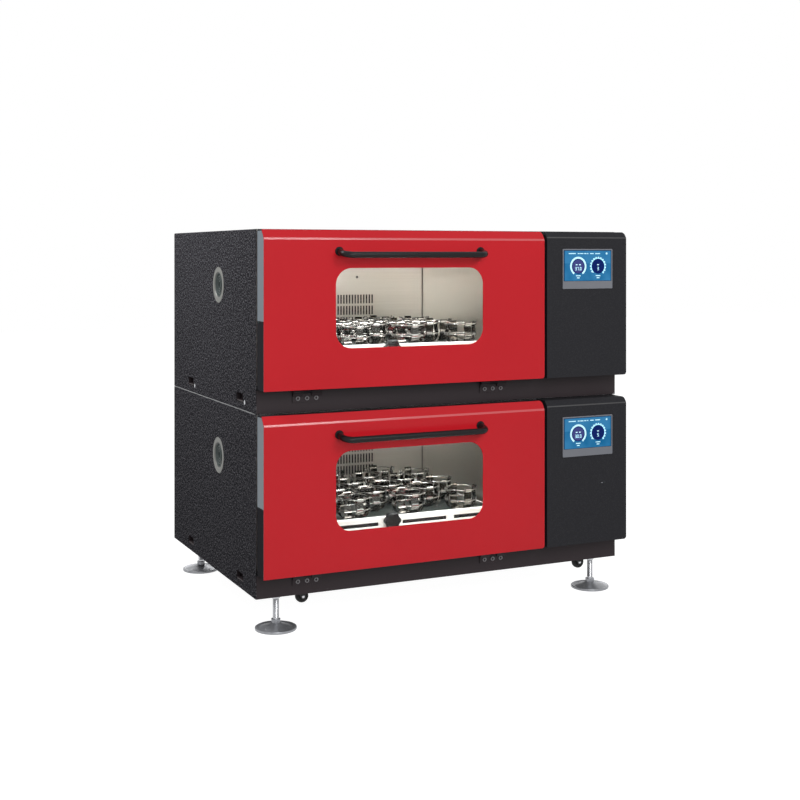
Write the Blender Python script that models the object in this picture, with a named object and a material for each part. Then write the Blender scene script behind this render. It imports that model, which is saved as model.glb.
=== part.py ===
# Two-tier incubated shaker: two equal cabinets stacked, each with a drop-down door,
# a heated chamber, an orbiting platform with flask clamps and its own control fascia.
# Metres, +Z up, +X along the front to the viewer's right, -Y towards the viewer.
# Shapes of a tier are written from its own corner: x from the left side,
# y back from the plane behind the door, z up from the underside of the tier.
import math

import bmesh
import bpy
from mathutils import Matrix, Vector

for old in list(bpy.data.objects):
    bpy.data.objects.remove(old, do_unlink=True)

# Overall sizes
cabinet_width = 1.210
cabinet_depth = 0.860
tier_height = 0.520
floor_clearance = 0.100
sheet = 0.0015
gap = 0.0003
overrun = 0.010
round_sides = 20
small_sides = 12

# Door, hinged along its bottom edge
door_left = 0.002
door_to_fascia = 0.009
door_depth = 0.062
door_bottom = 0.068
door_top_gap = 0.002
door_corner_radius = 0.009
chamfer_height = 0.025
chamfer_depth = 0.018
skin_thickness = 0.002
seal_depth = 0.005
seal_width = 0.014
seal_inset = 0.022
window_width = 0.475
window_top_margin = 0.109
window_bottom = 0.181
window_radius = 0.048
window_flare = 0.036
glass_thickness = 0.005
glass_overlap = 0.012
corner_steps = 6
pocket_margin = 0.046
pocket_rib = 0.012
pocket_floor = 0.008

# Handle, a bent tube whose bar hangs a little below its two mounts
handle_span = 0.456
handle_mount_drop = 0.061
handle_drop = 0.010
handle_reach = 0.0488
handle_radius = 0.0092
handle_bend = 0.026

# Hinges
hinge_width = 0.088
hinge_leaf_height = 0.023
hinge_leaf_bottom = 0.027
hinge_leaf_thickness = 0.003
hinge_inset = 0.150
hinge_axis_depth = 0.010
hinge_axis_height = 0.059
knuckle_radius = 0.005
knuckle_lug_width = 0.026
hinge_pin_radius = 0.0025
strap_depth = 0.006
strap_overlap = 0.006

# Control fascia and touchscreen
fascia_width = 0.293
fascia_wall = 0.003
fascia_chamfer_height = 0.018
fascia_chamfer_depth = 0.013
screen_width = 0.184
screen_height = 0.124
screen_centre_drop = 0.117
screen_bezel = 0.003
screen_lip = 0.004
screen_module_depth = 0.022

# Base pan, set up inside its skirt so that the casters reach in under it
strip_height = 0.066
strip_thickness = 0.003
pan_level = 0.022
pan_thickness = 0.003
rear_inset = 0.012
rear_thickness = 0.0015
boss_radius = 0.032
boss_height = 0.026
idler_boss_radius = 0.022
journal_floor = 0.002

# Chamber
liner_sheet = 0.0012
chamber_left = 0.045
chamber_to_fascia = 0.051
chamber_rear_space = 0.160
chamber_floor = 0.135
chamber_roof_space = 0.060
flange_to_fascia = 0.008
floor_hole_clearance = 0.003

# Side vent and the bolt recesses low on both sides
vent_radius = 0.055
vent_depth = 0.355
vent_drop = 0.105
vent_thickness = 0.010
recess_length = 0.062
recess_height = 0.026
recess_level = 0.020
recess_front_depth = 0.145
recess_rear_margin = 0.205

# Platform, its rails and its hubs
platform_shift = 0.0025
platform_side_space = 0.0305
platform_front = 0.090
platform_rear_space = 0.050
platform_top = 0.168
platform_thickness = 0.004
rail_depth = 0.014
rail_top = 0.177
rail_height = 0.031
slot_bottom = 0.151
slot_height = 0.011
slot_depth = 0.006
slot_start = 0.040
slot_end = 0.014
slot_space = 0.026
slots_per_side = 2
hub_radius = 0.030
idler_hub_radius = 0.022
hub_height = 0.014

# Orbital drive
orbit_radius = 0.013
shaft_radius = 0.015
crank_disc_radius = 0.030
crank_disc_thickness = 0.008
crank_disc_lift = 0.003
crank_pin_radius = 0.009
pin_end_clearance = 0.003
pulley_radius = 0.080
pulley_bottom = 0.090
pulley_thickness = 0.018
counterweight_radius = 0.095
counterweight_bottom = 0.058
counterweight_thickness = 0.024
idler_inset = 0.110
idler_shaft_radius = 0.010
idler_disc_radius = 0.024
idler_pin_radius = 0.007
idler_pin_clearance = 0.0008
motor_distance = 0.250
motor_radius = 0.055
motor_height = 0.056
motor_shaft_radius = 0.007
motor_pulley_radius = 0.026
belt_thickness = 0.003
belt_inset = 0.003

# Circulation fan behind the chamber's back wall
fan_drop = 0.160
fan_radius = 0.070
fan_hub_radius = 0.016
fan_space = 0.022
fan_width = 0.034
fan_blades = 8
fan_blade_thickness = 0.004
fan_motor_radius = 0.038
fan_shaft_radius = 0.005
fan_motor_gap = 0.006

# Flask clamps in staggered rows on one thin base sheet
clamp_radius = 0.0525
clamp_wall = 0.0016
clamp_height = 0.075
clamp_foot_height = 0.008
clamp_ring_height = 0.006
clamp_ring_drop = 0.006
clamp_least_pitch = 0.150
clamp_least_row_pitch = 0.080
clamp_side_margin = 0.104
clamp_end_margin = 0.070
clamp_sides = 8
clamp_sheet = 0.0012
clamp_sheet_margin = 0.012

# Tray knob on the front rail
knob_radius = 0.027
knob_lobe_depth = 0.004
knob_lobes = 6
knob_depth = 0.022
knob_stem_radius = 0.006
knob_gap = 0.001

# Levelling feet and casters
foot_inset_x = 0.072
foot_front_inset = 0.036
foot_rear_inset = 0.075
foot_radius = 0.060
foot_rim = 0.008
foot_flange_radius = 0.046
foot_dome = 0.020
foot_hub_radius = 0.014
foot_hub_height = 0.030
foot_boss_radius = 0.014
foot_boss_drop = 0.006
stem_radius = 0.009
stem_reach = 0.055
caster_inset_x = 0.134
caster_front_inset = 0.040
caster_rear_inset = 0.060
caster_trail = 0.018
wheel_radius = 0.019
wheel_width = 0.018
wheel_drop = 0.015
fork_side = 0.003
fork_width = 0.020
fork_crown = 0.004
fork_length = 0.022
axle_radius = 0.004

# Places that follow from the sizes above
overall_depth = handle_reach + handle_radius + gap + door_depth + cabinet_depth
front_y = overall_depth / 2 - cabinet_depth
pan_top = pan_level + pan_thickness
rear_face = cabinet_depth - rear_inset
rear_inside = rear_face - rear_thickness
door_inside = seal_depth + 2 * gap
door_top = tier_height - door_top_gap
window_height = door_top - window_top_margin - window_bottom
handle_mount_height = door_top - handle_mount_drop
screen_centre_height = tier_height - screen_centre_drop
chamber_ceiling = tier_height - chamber_roof_space
vent_height = chamber_ceiling - vent_drop
fan_height = chamber_ceiling - fan_drop
fascia_left = cabinet_width - fascia_width
door_right = fascia_left - door_to_fascia
flange_right = fascia_left - flange_to_fascia
door_centre = (door_left + door_right) / 2
chamber_right = fascia_left - chamber_to_fascia
chamber_depth = cabinet_depth - chamber_rear_space
recess_rear_depth = cabinet_depth - recess_rear_margin
fan_x = door_centre
fan_front_depth = chamber_depth + fan_space
fascia_centre = (fascia_left + cabinet_width) / 2
platform_centre = (chamber_left + chamber_right) / 2 + platform_shift
platform_width = chamber_right - chamber_left - 2 * platform_side_space
platform_length = chamber_depth - platform_front - platform_rear_space
platform_mid_depth = platform_front + platform_length / 2
slot_run = platform_width / 2 - slot_start - slot_end
slot_length = (slot_run - (slots_per_side - 1) * slot_space) / slots_per_side
idler_spread = platform_width / 2 - idler_inset
crank_depth = platform_mid_depth - orbit_radius
hub_bottom = platform_top - platform_thickness - hub_height
crank_disc_bottom = chamber_floor + crank_disc_lift
crank_disc_top = crank_disc_bottom + crank_disc_thickness
pulley_top = pulley_bottom + pulley_thickness
pin_top = platform_top - platform_thickness - pin_end_clearance
motor_depth = crank_depth + motor_distance
clamp_span = platform_width - 2 * clamp_side_margin
clamp_wide_row = int(clamp_span / clamp_least_pitch) + 1
clamp_pitch = clamp_span / (clamp_wide_row - 1)
clamp_length = platform_length - 2 * clamp_end_margin
clamp_rows = int(clamp_length / clamp_least_row_pitch) + 1
clamp_row_pitch = clamp_length / (clamp_rows - 1)
clamp_first_row = platform_front + clamp_end_margin
tiers = ("lower", "upper")


def material(name, colour, roughness, metallic=0.0):
    made = bpy.data.materials.new(name)
    made.use_nodes = True
    shader = made.node_tree.nodes["Principled BSDF"]
    shader.inputs["Base Color"].default_value = (*colour, 1.0)
    shader.inputs["Roughness"].default_value = roughness
    shader.inputs["Metallic"].default_value = metallic
    made.diffuse_color = (*colour, 1.0)
    return made


finishes = {
    "powder_coat": ((0.030, 0.030, 0.032), 0.55, 0.0),
    "base_black": ((0.020, 0.019, 0.020), 0.45, 0.0),
    "stainless": ((0.560, 0.550, 0.530), 0.28, 1.0),
    "fascia_black": ((0.022, 0.022, 0.024), 0.40, 0.0),
    "screen_blue": ((0.020, 0.160, 0.420), 0.15, 0.0),
    "door_black": ((0.018, 0.018, 0.020), 0.35, 0.0),
    "door_red": ((0.580, 0.018, 0.028), 0.22, 0.0),
    "glass": ((0.750, 0.800, 0.800), 0.05, 0.0),
    "rubber": ((0.020, 0.020, 0.020), 0.80, 0.0),
    "handle_black": ((0.012, 0.012, 0.013), 0.38, 0.0),
    "zinc": ((0.600, 0.600, 0.610), 0.30, 1.0),
    "aluminium": ((0.780, 0.770, 0.750), 0.35, 1.0),
    "grille_grey": ((0.220, 0.220, 0.220), 0.50, 0.0),
    "steel": ((0.400, 0.400, 0.410), 0.38, 1.0),
    "motor_grey": ((0.120, 0.130, 0.140), 0.45, 0.3),
    "knob_black": ((0.014, 0.014, 0.015), 0.45, 0.0),
    "fan_black": ((0.030, 0.030, 0.030), 0.60, 0.0),
    "caster_black": ((0.025, 0.025, 0.026), 0.60, 0.0),
}


def add_box(bm, low, high):
    corners = [bm.verts.new((x, y, z)) for x in (low[0], high[0]) for y in (low[1], high[1])
               for z in (low[2], high[2])]
    for face in ((0, 1, 3, 2), (4, 6, 7, 5), (0, 4, 5, 1), (2, 3, 7, 6), (0, 2, 6, 4), (1, 5, 7, 3)):
        bm.faces.new([corners[i] for i in face])


def add_prism(bm, outline, axis, low, high):
    """Extrude an outline, given across the axis, from low to high along it."""
    order = {"X": lambda a, b, h: (h, a, b), "Y": lambda a, b, h: (a, h, b), "Z": lambda a, b, h: (a, b, h)}
    point = order[axis]
    bottom = [bm.verts.new(point(a, b, low)) for a, b in outline]
    top = [bm.verts.new(point(a, b, high)) for a, b in outline]
    faces = [bm.faces.new(bottom), bm.faces.new(top)]
    for i, here in enumerate(bottom):
        j = (i + 1) % len(bottom)
        faces.append(bm.faces.new((here, bottom[j], top[j], top[i])))
    bmesh.ops.recalc_face_normals(bm, faces=faces)


def add_turned(bm, profile, centre, axis="Z", sides=round_sides):
    """Turn a profile of (radius, height) points round an axis through centre into a closed solid."""
    turn = {"Z": Matrix.Identity(4), "X": Matrix.Rotation(math.pi / 2, 4, "Y"),
            "Y": Matrix.Rotation(-math.pi / 2, 4, "X")}[axis]
    place = Matrix.Translation(centre) @ turn
    rings = []
    for radius, height in profile:
        if radius == 0:
            rings.append([bm.verts.new(place @ Vector((0, 0, height)))])
            continue
        angles = [math.tau * k / sides for k in range(sides)]
        ring = [bm.verts.new(place @ Vector((radius * math.cos(a), radius * math.sin(a), height)))
                for a in angles]
        rings.append(ring)
    faces = []
    closed = profile[0][0] != 0
    pairs = list(zip(rings, rings[1:])) + ([(rings[-1], rings[0])] if closed else [])
    for low, high in pairs:
        for k in range(sides):
            n = (k + 1) % sides
            if len(low) == 1:
                faces.append(bm.faces.new((low[0], high[k], high[n])))
            elif len(high) == 1:
                faces.append(bm.faces.new((low[k], low[n], high[0])))
            else:
                faces.append(bm.faces.new((low[k], low[n], high[n], high[k])))
    bmesh.ops.recalc_face_normals(bm, faces=faces)


def add_cylinder(bm, radius, centre, length, axis="Z", sides=round_sides):
    """A round bar that starts at centre and runs along its axis."""
    add_turned(bm, [(0, 0), (radius, 0), (radius, length), (0, length)], centre, axis, sides)


def bore_radius(shaft, sides=small_sides, clearance=gap):
    """Corner radius of a faceted bore whose flats clear a turning shaft."""
    return (shaft + clearance) / math.cos(math.pi / sides)


def arc(centre, radius, start, end, steps):
    angles = [start + (end - start) * k / steps for k in range(steps + 1)]
    return [(centre[0] + radius * math.cos(a), centre[1] + radius * math.sin(a)) for a in angles]


def rounded_rectangle(left, right, bottom, top, radius, square_left=False):
    quarter = math.pi / 2
    points = []
    points += arc((right - radius, bottom + radius), radius, -quarter, 0, corner_steps)
    points += arc((right - radius, top - radius), radius, 0, quarter, corner_steps)
    if square_left:
        return points + [(left, top), (left, bottom)]
    points += arc((left + radius, top - radius), radius, quarter, 2 * quarter, corner_steps)
    points += arc((left + radius, bottom + radius), radius, 2 * quarter, 3 * quarter, corner_steps)
    return points


def piece(name, bm, finish, tier=None, pivot=(0, 0, 0)):
    """Make a node from a mesh in tier coordinates, with its origin on pivot."""
    bmesh.ops.translate(bm, verts=bm.verts, vec=-Vector(pivot))
    bmesh.ops.recalc_face_normals(bm, faces=bm.faces)
    mesh = bpy.data.meshes.new(name)
    bm.to_mesh(mesh)
    bm.free()
    made = bpy.data.objects.new(name, mesh)
    bpy.context.collection.objects.link(made)
    mesh.materials.append(material(name + "_" + finish, *finishes[finish]))
    mesh.shade_smooth()
    mesh.set_sharp_from_angle(angle=math.radians(30))
    if tier:
        made.parent = tier
    made.location = pivot
    return made


def tool(made, operation, bm):
    """Join, cut or trim a piece with a helper solid written in the same coordinates."""
    bmesh.ops.translate(bm, verts=bm.verts, vec=-made.location)
    bmesh.ops.recalc_face_normals(bm, faces=bm.faces)
    mesh = bpy.data.meshes.new("tool")
    bm.to_mesh(mesh)
    bm.free()
    helper = bpy.data.objects.new("tool_" + made.name, mesh)
    bpy.context.collection.objects.link(helper)
    helper.parent = made.parent
    helper.location = made.location
    helper.hide_render = True
    helper.display_type = "WIRE"
    modifier = made.modifiers.new("shape", "BOOLEAN")
    modifier.operation = operation
    modifier.object = helper


def make_shell(tier, prefix):
    top = tier_height - gap
    outline = [(0, 0), (0, top), (cabinet_width, top), (cabinet_width, 0), (cabinet_width - sheet, 0),
               (cabinet_width - sheet, top - sheet), (sheet, top - sheet), (sheet, 0)]
    bm = bmesh.new()
    add_prism(bm, outline, "Y", 0, cabinet_depth)
    made = piece(prefix + "cabinet_shell", bm, "powder_coat", tier)
    cuts = bmesh.new()
    add_cylinder(cuts, vent_radius + gap, (-overrun, vent_depth, vent_height), 2 * overrun, "X")
    for depth in (recess_front_depth, recess_rear_depth):
        for side in (0, cabinet_width):
            add_box(cuts, (side - overrun, depth - recess_length / 2, recess_level),
                    (side + overrun, depth + recess_length / 2, recess_level + recess_height))
    tool(made, "DIFFERENCE", cuts)


def make_rear_panel(tier, prefix):
    bm = bmesh.new()
    side = sheet + gap
    add_box(bm, (side, rear_inside, 0), (cabinet_width - side, rear_face, tier_height - sheet - 2 * gap))
    made = piece(prefix + "rear_panel", bm, "powder_coat", tier)
    motor_front = fan_front_depth + fan_width + fan_motor_gap
    fan_motor = bmesh.new()
    add_turned(fan_motor, [(0, 0), (fan_shaft_radius, 0), (fan_shaft_radius, motor_front - fan_front_depth),
                           (fan_motor_radius, motor_front - fan_front_depth),
                           (fan_motor_radius, rear_face - rear_thickness / 2 - fan_front_depth),
                           (0, rear_face - rear_thickness / 2 - fan_front_depth)],
               (fan_x, fan_front_depth, fan_height), "Y", small_sides)
    tool(made, "UNION", fan_motor)


def make_base_pan(tier, prefix, has_feet):
    side = sheet + gap
    rear = rear_inside - gap
    outline = [(0, 0), (strip_thickness, 0), (strip_thickness, pan_level),
               (rear - strip_thickness, pan_level),
               (rear - strip_thickness, 0), (rear, 0), (rear, pan_top), (strip_thickness, pan_top),
               (strip_thickness, strip_height), (0, strip_height)]
    bm = bmesh.new()
    add_prism(bm, outline, "X", side, cabinet_width - side)
    made = piece(prefix + "base_pan", bm, "base_black", tier)
    bosses = bmesh.new()
    add_cylinder(bosses, boss_radius, (platform_centre, crank_depth, pan_level + pan_thickness / 2),
                 boss_height + pan_thickness / 2)
    for shift in (-idler_spread, idler_spread):
        foot = (platform_centre + shift, crank_depth, pan_level + pan_thickness / 2)
        add_cylinder(bosses, idler_boss_radius, foot,
                     boss_height + pan_thickness / 2, sides=small_sides)
    if has_feet:
        for x, y in foot_places():
            add_cylinder(bosses, foot_boss_radius, (x, y, -foot_boss_drop),
                         foot_boss_drop + pan_level + pan_thickness / 2)
    tool(made, "UNION", bosses)
    bores = bmesh.new()
    bore_bottom = pan_top + journal_floor - gap
    add_cylinder(bores, bore_radius(shaft_radius, round_sides), (platform_centre, crank_depth, bore_bottom),
                 boss_height)
    for shift in (-idler_spread, idler_spread):
        foot = (platform_centre + shift, crank_depth, bore_bottom)
        add_cylinder(bores, bore_radius(idler_shaft_radius), foot,
                     boss_height, sides=small_sides)
    if has_feet:
        for x, y in foot_places():
            add_cylinder(bores, bore_radius(stem_radius, round_sides), (x, y, -foot_boss_drop - overrun),
                         foot_boss_drop + pan_top + 2 * overrun)
    tool(made, "DIFFERENCE", bores)


def make_liner(tier, prefix):
    wall = liner_sheet
    bm = bmesh.new()
    add_box(bm, (chamber_left - wall, 0, chamber_floor - wall),
            (chamber_right + wall, chamber_depth + wall, chamber_ceiling + wall))
    made = piece(prefix + "chamber_liner", bm, "stainless", tier)
    flange = bmesh.new()
    add_box(flange, (sheet + gap, 0, strip_height + gap),
            (flange_right, wall, tier_height - sheet - 2 * gap))
    tool(made, "UNION", flange)
    cuts = bmesh.new()
    add_box(cuts, (chamber_left, -overrun, chamber_floor), (chamber_right, chamber_depth, chamber_ceiling))
    tool(made, "DIFFERENCE", cuts)
    holes = bmesh.new()
    low = chamber_floor - overrun
    add_cylinder(holes, shaft_radius + floor_hole_clearance, (platform_centre, crank_depth, low),
                 2 * overrun)
    for shift in (-idler_spread, idler_spread):
        add_cylinder(holes, idler_shaft_radius + floor_hole_clearance,
                     (platform_centre + shift, crank_depth, low), 2 * overrun, sides=small_sides)
    tool(made, "DIFFERENCE", holes)


def chamfered_profile(back, front, top, drop=0, height=chamfer_height, depth=chamfer_depth):
    """Side outline of a front panel whose top edge is chamfered, drop inside the outer face."""
    length = math.hypot(height, depth)
    slope_shift = drop * (length - depth) / height
    rise = drop * length / depth
    crease = door_top - height
    edge = front + depth + rise * depth / height
    if drop:
        return [(back, door_bottom), (front + drop, door_bottom), (front + drop, crease - slope_shift),
                (edge, top), (back, top)]
    return [(back, door_bottom), (front, door_bottom), (front, crease), (front + depth, top),
            (back, top)]


def skin_profile():
    outer = chamfered_profile(0, -door_depth, door_top)[1:4]
    inner = chamfered_profile(0, -door_depth, door_top, skin_thickness)[1:4]
    return outer + inner[::-1]


def trim_to_outline(made, left, right):
    slab = bmesh.new()
    add_prism(slab, rounded_rectangle(left, right, door_bottom, door_top, door_corner_radius, True), "Y",
              -door_depth - overrun, overrun)
    tool(made, "INTERSECT", slab)


def window_outline(shrink=0):
    left = door_centre - window_width / 2 + shrink
    right = door_centre + window_width / 2 - shrink
    return rounded_rectangle(left, right, window_bottom + shrink, window_bottom + window_height - shrink,
                             window_radius - shrink)


def cut_window(made, shrink=0):
    hole = bmesh.new()
    add_prism(hole, window_outline(shrink), "Y", -door_depth - overrun, overrun)
    tool(made, "DIFFERENCE", hole)


def cut_pockets(frame):
    """Hollow the door body from behind, beside the window, inside the line of the seal."""
    low = door_bottom + pocket_margin
    high = door_top - pocket_margin
    half = window_width / 2 + window_flare + pocket_rib
    pockets = bmesh.new()
    for x_low, x_high in ((door_left + pocket_margin, door_centre - half),
                          (door_centre + half, door_right - pocket_margin)):
        add_box(pockets, (x_low, -door_depth + pocket_floor, low), (x_high, overrun, high))
    tool(frame, "DIFFERENCE", pockets)


def hinge_centres():
    return (door_left + hinge_inset, door_right - hinge_inset)


def make_door(tier, prefix):
    pivot = (door_centre, -hinge_axis_depth, hinge_axis_height)
    bm = bmesh.new()
    add_prism(bm, skin_profile(), "X", door_left, door_right)
    skin = piece(prefix + "door_skin", bm, "door_red", tier, pivot)
    trim_to_outline(skin, door_left, door_right)
    cut_window(skin)
    bm = bmesh.new()
    add_prism(bm, chamfered_profile(-door_inside, -door_depth, door_top, skin_thickness + gap), "X",
              door_left, door_right)
    frame = piece(prefix + "door_frame", bm, "door_black", tier, pivot)
    trim_to_outline(frame, door_left, door_right)
    cut_window(frame, -window_flare)
    lugs = bmesh.new()
    for centre in hinge_centres():
        half = knuckle_lug_width / 2
        side = knuckle_radius
        outline = arc((-hinge_axis_depth, hinge_axis_height), side, -math.pi, 0, corner_steps)
        outline += [(-hinge_axis_depth + side - gap, door_bottom + side),
                    (-hinge_axis_depth - side, door_bottom + side)]
        add_prism(lugs, outline, "X", centre - half, centre + half)
    tool(frame, "UNION", lugs)
    cut_pockets(frame)
    bores = bmesh.new()
    for centre in hinge_centres():
        start = (centre - knuckle_lug_width, -hinge_axis_depth, hinge_axis_height)
        add_cylinder(bores, bore_radius(hinge_pin_radius), start, 2 * knuckle_lug_width, "X", small_sides)
    tool(frame, "DIFFERENCE", bores)
    bm = bmesh.new()
    glass_front = -door_depth + skin_thickness + gap
    add_prism(bm, window_outline(-glass_overlap), "Y", glass_front, glass_front + glass_thickness)
    piece(prefix + "window_glass", bm, "glass", tier, pivot)
    bm = bmesh.new()
    outer = (door_left + seal_inset, door_right - seal_inset, door_bottom + seal_inset,
             door_top - seal_inset)
    add_box(bm, (outer[0], -seal_depth - gap, outer[2]), (outer[1], -gap, outer[3]))
    seal = piece(prefix + "door_gasket", bm, "rubber", tier, pivot)
    hole = bmesh.new()
    add_box(hole, (outer[0] + seal_width, -seal_depth - overrun, outer[2] + seal_width),
            (outer[1] - seal_width, overrun, outer[3] - seal_width))
    tool(seal, "DIFFERENCE", hole)
    make_handle(tier, prefix, pivot)


def handle_path():
    """Centre line of the bent tube, from one mount to the other."""
    quarter = math.pi / 2
    reach = handle_reach
    bend = handle_bend
    left = door_centre - handle_span / 2
    right = door_centre + handle_span / 2
    straight = handle_radius
    flat = [(left, 0), (left, straight)]
    flat += arc((left + bend, reach - bend), bend, 2 * quarter, quarter, corner_steps)
    flat += arc((right - bend, reach - bend), bend, quarter, 0, corner_steps)
    flat += [(right, straight), (right, 0)]
    slope = handle_drop / (reach - straight)
    return [(x, -door_depth - gap - out, handle_mount_height - slope * max(0, out - straight))
            for x, out in flat]


def make_handle(tier, prefix, pivot):
    curve = bpy.data.curves.new(prefix + "door_handle", "CURVE")
    curve.dimensions = "3D"
    curve.bevel_depth = handle_radius
    curve.bevel_resolution = 2
    curve.use_fill_caps = True
    spline = curve.splines.new("POLY")
    points = handle_path()
    spline.points.add(len(points) - 1)
    for target, point in zip(spline.points, points):
        target.co = (*(Vector(point) - Vector(pivot)), 1)
    made = bpy.data.objects.new(prefix + "door_handle", curve)
    bpy.context.collection.objects.link(made)
    curve.materials.append(material(prefix + "door_handle_black", *finishes["handle_black"]))
    made.parent = tier
    made.location = pivot


def make_hinge(tier, prefix, side, centre):
    half = hinge_width / 2
    lug = knuckle_lug_width / 2 + gap
    axis = (-hinge_axis_depth, hinge_axis_height)
    front = -gap - hinge_leaf_thickness
    leaf_top = hinge_leaf_bottom + hinge_leaf_height
    bm = bmesh.new()
    add_box(bm, (centre - half, front, hinge_leaf_bottom), (centre + half, -gap, leaf_top))
    made = piece(prefix + "hinge_" + side, bm, "steel", tier)
    knuckles = bmesh.new()
    for low, high in ((centre - half, centre - lug), (centre + lug, centre + half)):
        back = -gap
        outline = arc(axis, knuckle_radius, math.pi / 2, 3 * math.pi / 2, corner_steps)
        outline += [(front - strap_depth / 2, leaf_top - strap_overlap), (back, leaf_top - strap_overlap),
                    (back, axis[1] + knuckle_radius)]
        add_prism(knuckles, outline, "X", low, high)
    tool(made, "UNION", knuckles)
    pin = bmesh.new()
    add_cylinder(pin, hinge_pin_radius, (centre - 2 * lug, *axis), 4 * lug, "X", small_sides)
    tool(made, "UNION", pin)


def make_fascia(tier, prefix):
    bm = bmesh.new()
    profile = chamfered_profile(-gap, -door_depth, door_top, 0, fascia_chamfer_height, fascia_chamfer_depth)
    add_prism(bm, profile, "X", fascia_left, cabinet_width)
    made = piece(prefix + "control_fascia", bm, "fascia_black", tier)
    trim_to_outline(made, fascia_left, cabinet_width)
    wall = fascia_wall
    hollow = bmesh.new()
    add_box(hollow, (fascia_left + wall, -door_depth + wall, door_bottom + wall),
            (cabinet_width - wall, overrun, door_top - fascia_chamfer_height - wall))
    tool(made, "DIFFERENCE", hollow)
    hole = bmesh.new()
    half_width = screen_width / 2 - screen_lip
    half_height = screen_height / 2 - screen_lip
    add_box(hole, (fascia_centre - half_width, -door_depth - overrun, screen_centre_height - half_height),
            (fascia_centre + half_width, -door_depth + overrun, screen_centre_height + half_height))
    tool(made, "DIFFERENCE", hole)
    bm = bmesh.new()
    front = -door_depth - gap - screen_bezel
    add_box(bm, (fascia_centre - screen_width / 2, front, screen_centre_height - screen_height / 2),
            (fascia_centre + screen_width / 2, -door_depth - gap, screen_centre_height + screen_height / 2))
    screen = piece(prefix + "touchscreen", bm, "screen_blue", tier)
    module = bmesh.new()
    half_width -= gap
    half_height -= gap
    low_z = screen_centre_height - half_height
    high_z = screen_centre_height + half_height
    add_box(module, (fascia_centre - half_width, front + screen_bezel / 2, low_z),
            (fascia_centre + half_width, -door_depth + screen_module_depth, high_z))
    tool(screen, "UNION", module)


def make_vent(tier, prefix):
    ring = vent_radius / 5
    back = vent_thickness
    groove = vent_thickness / 2
    profile = [(0, back), (0, groove), (ring, groove), (ring, 0), (2 * ring, 0), (2 * ring, groove),
               (3 * ring, groove), (3 * ring, 0), (vent_radius, 0), (vent_radius, back)]
    profile = profile[1:] + [(0, back)]
    bm = bmesh.new()
    add_turned(bm, profile, (0, vent_depth, vent_height), "X")
    piece(prefix + "side_vent", bm, "grille_grey", tier)


def make_platform(tier, prefix, pivot):
    low_x = platform_centre - platform_width / 2
    high_x = platform_centre + platform_width / 2
    back = platform_front + platform_length
    rail_bottom = rail_top - rail_height
    outline = [(platform_front, rail_bottom), (platform_front + rail_depth, rail_bottom),
               (platform_front + rail_depth, platform_top - platform_thickness),
               (back - rail_depth, platform_top - platform_thickness), (back - rail_depth, rail_bottom),
               (back, rail_bottom), (back, rail_top), (back - rail_depth, rail_top),
               (back - rail_depth, platform_top), (platform_front + rail_depth, platform_top),
               (platform_front + rail_depth, rail_top), (platform_front, rail_top)]
    bm = bmesh.new()
    add_prism(bm, outline, "X", low_x, high_x)
    made = piece(prefix + "platform", bm, "aluminium", tier, pivot)
    hubs = bmesh.new()
    hub_length = hub_height + platform_thickness / 2
    add_cylinder(hubs, hub_radius, (platform_centre, platform_mid_depth, hub_bottom), hub_length)
    for shift in (-idler_spread, idler_spread):
        add_cylinder(hubs, idler_hub_radius, (platform_centre + shift, platform_mid_depth, hub_bottom),
                     hub_length, sides=small_sides)
    tool(made, "UNION", hubs)
    cuts = bmesh.new()
    bore_top = platform_top - platform_thickness - gap
    add_cylinder(cuts, bore_radius(crank_pin_radius),
                 (platform_centre, platform_mid_depth, hub_bottom - overrun),
                 bore_top - hub_bottom + overrun, sides=small_sides)
    for shift in (-idler_spread, idler_spread):
        add_cylinder(cuts, bore_radius(idler_pin_radius, small_sides, idler_pin_clearance),
                     (platform_centre + shift, platform_mid_depth, hub_bottom - overrun),
                     bore_top - hub_bottom + overrun, sides=small_sides)
    for k in range(slots_per_side):
        start = slot_start + k * (slot_length + slot_space)
        for low, high in ((start, start + slot_length), (-start - slot_length, -start)):
            add_box(cuts, (platform_centre + low, platform_front - overrun, slot_bottom),
                    (platform_centre + high, platform_front + slot_depth, slot_bottom + slot_height))
    add_cylinder(cuts, bore_radius(knob_stem_radius),
                 (platform_centre, platform_front - overrun, knob_hole_height()),
                 overrun + rail_depth - gap, "Y", small_sides)
    tool(made, "DIFFERENCE", cuts)


def knob_hole_height():
    return rail_top - rail_height / 3


def make_knob(tier, prefix):
    height = knob_hole_height()
    front = platform_front - knob_gap - knob_depth
    pivot = (platform_centre, front, height)
    steps = 4 * knob_lobes
    outline = []
    for k in range(steps):
        angle = math.tau * k / steps
        radius = knob_radius - knob_lobe_depth * (1 - math.cos(knob_lobes * angle)) / 2
        outline.append((platform_centre + radius * math.cos(angle), height + radius * math.sin(angle)))
    bm = bmesh.new()
    add_prism(bm, outline, "Y", front, front + knob_depth)
    made = piece(prefix + "tray_knob", bm, "knob_black", tier, pivot)
    stem = bmesh.new()
    add_cylinder(stem, knob_stem_radius, (platform_centre, front + knob_depth / 2, height),
                 knob_depth / 2 + knob_gap + rail_depth / 2, "Y", small_sides)
    tool(made, "UNION", stem)


def clamp_places():
    """Centres of the flask clamps, row by row from the front, wide and narrow rows in turn."""
    places = []
    for row in range(clamp_rows):
        count = clamp_wide_row - row % 2
        for k in range(count):
            x = platform_centre + (k - (count - 1) / 2) * clamp_pitch
            places.append((x, clamp_first_row + row * clamp_row_pitch))
    return places


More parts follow.
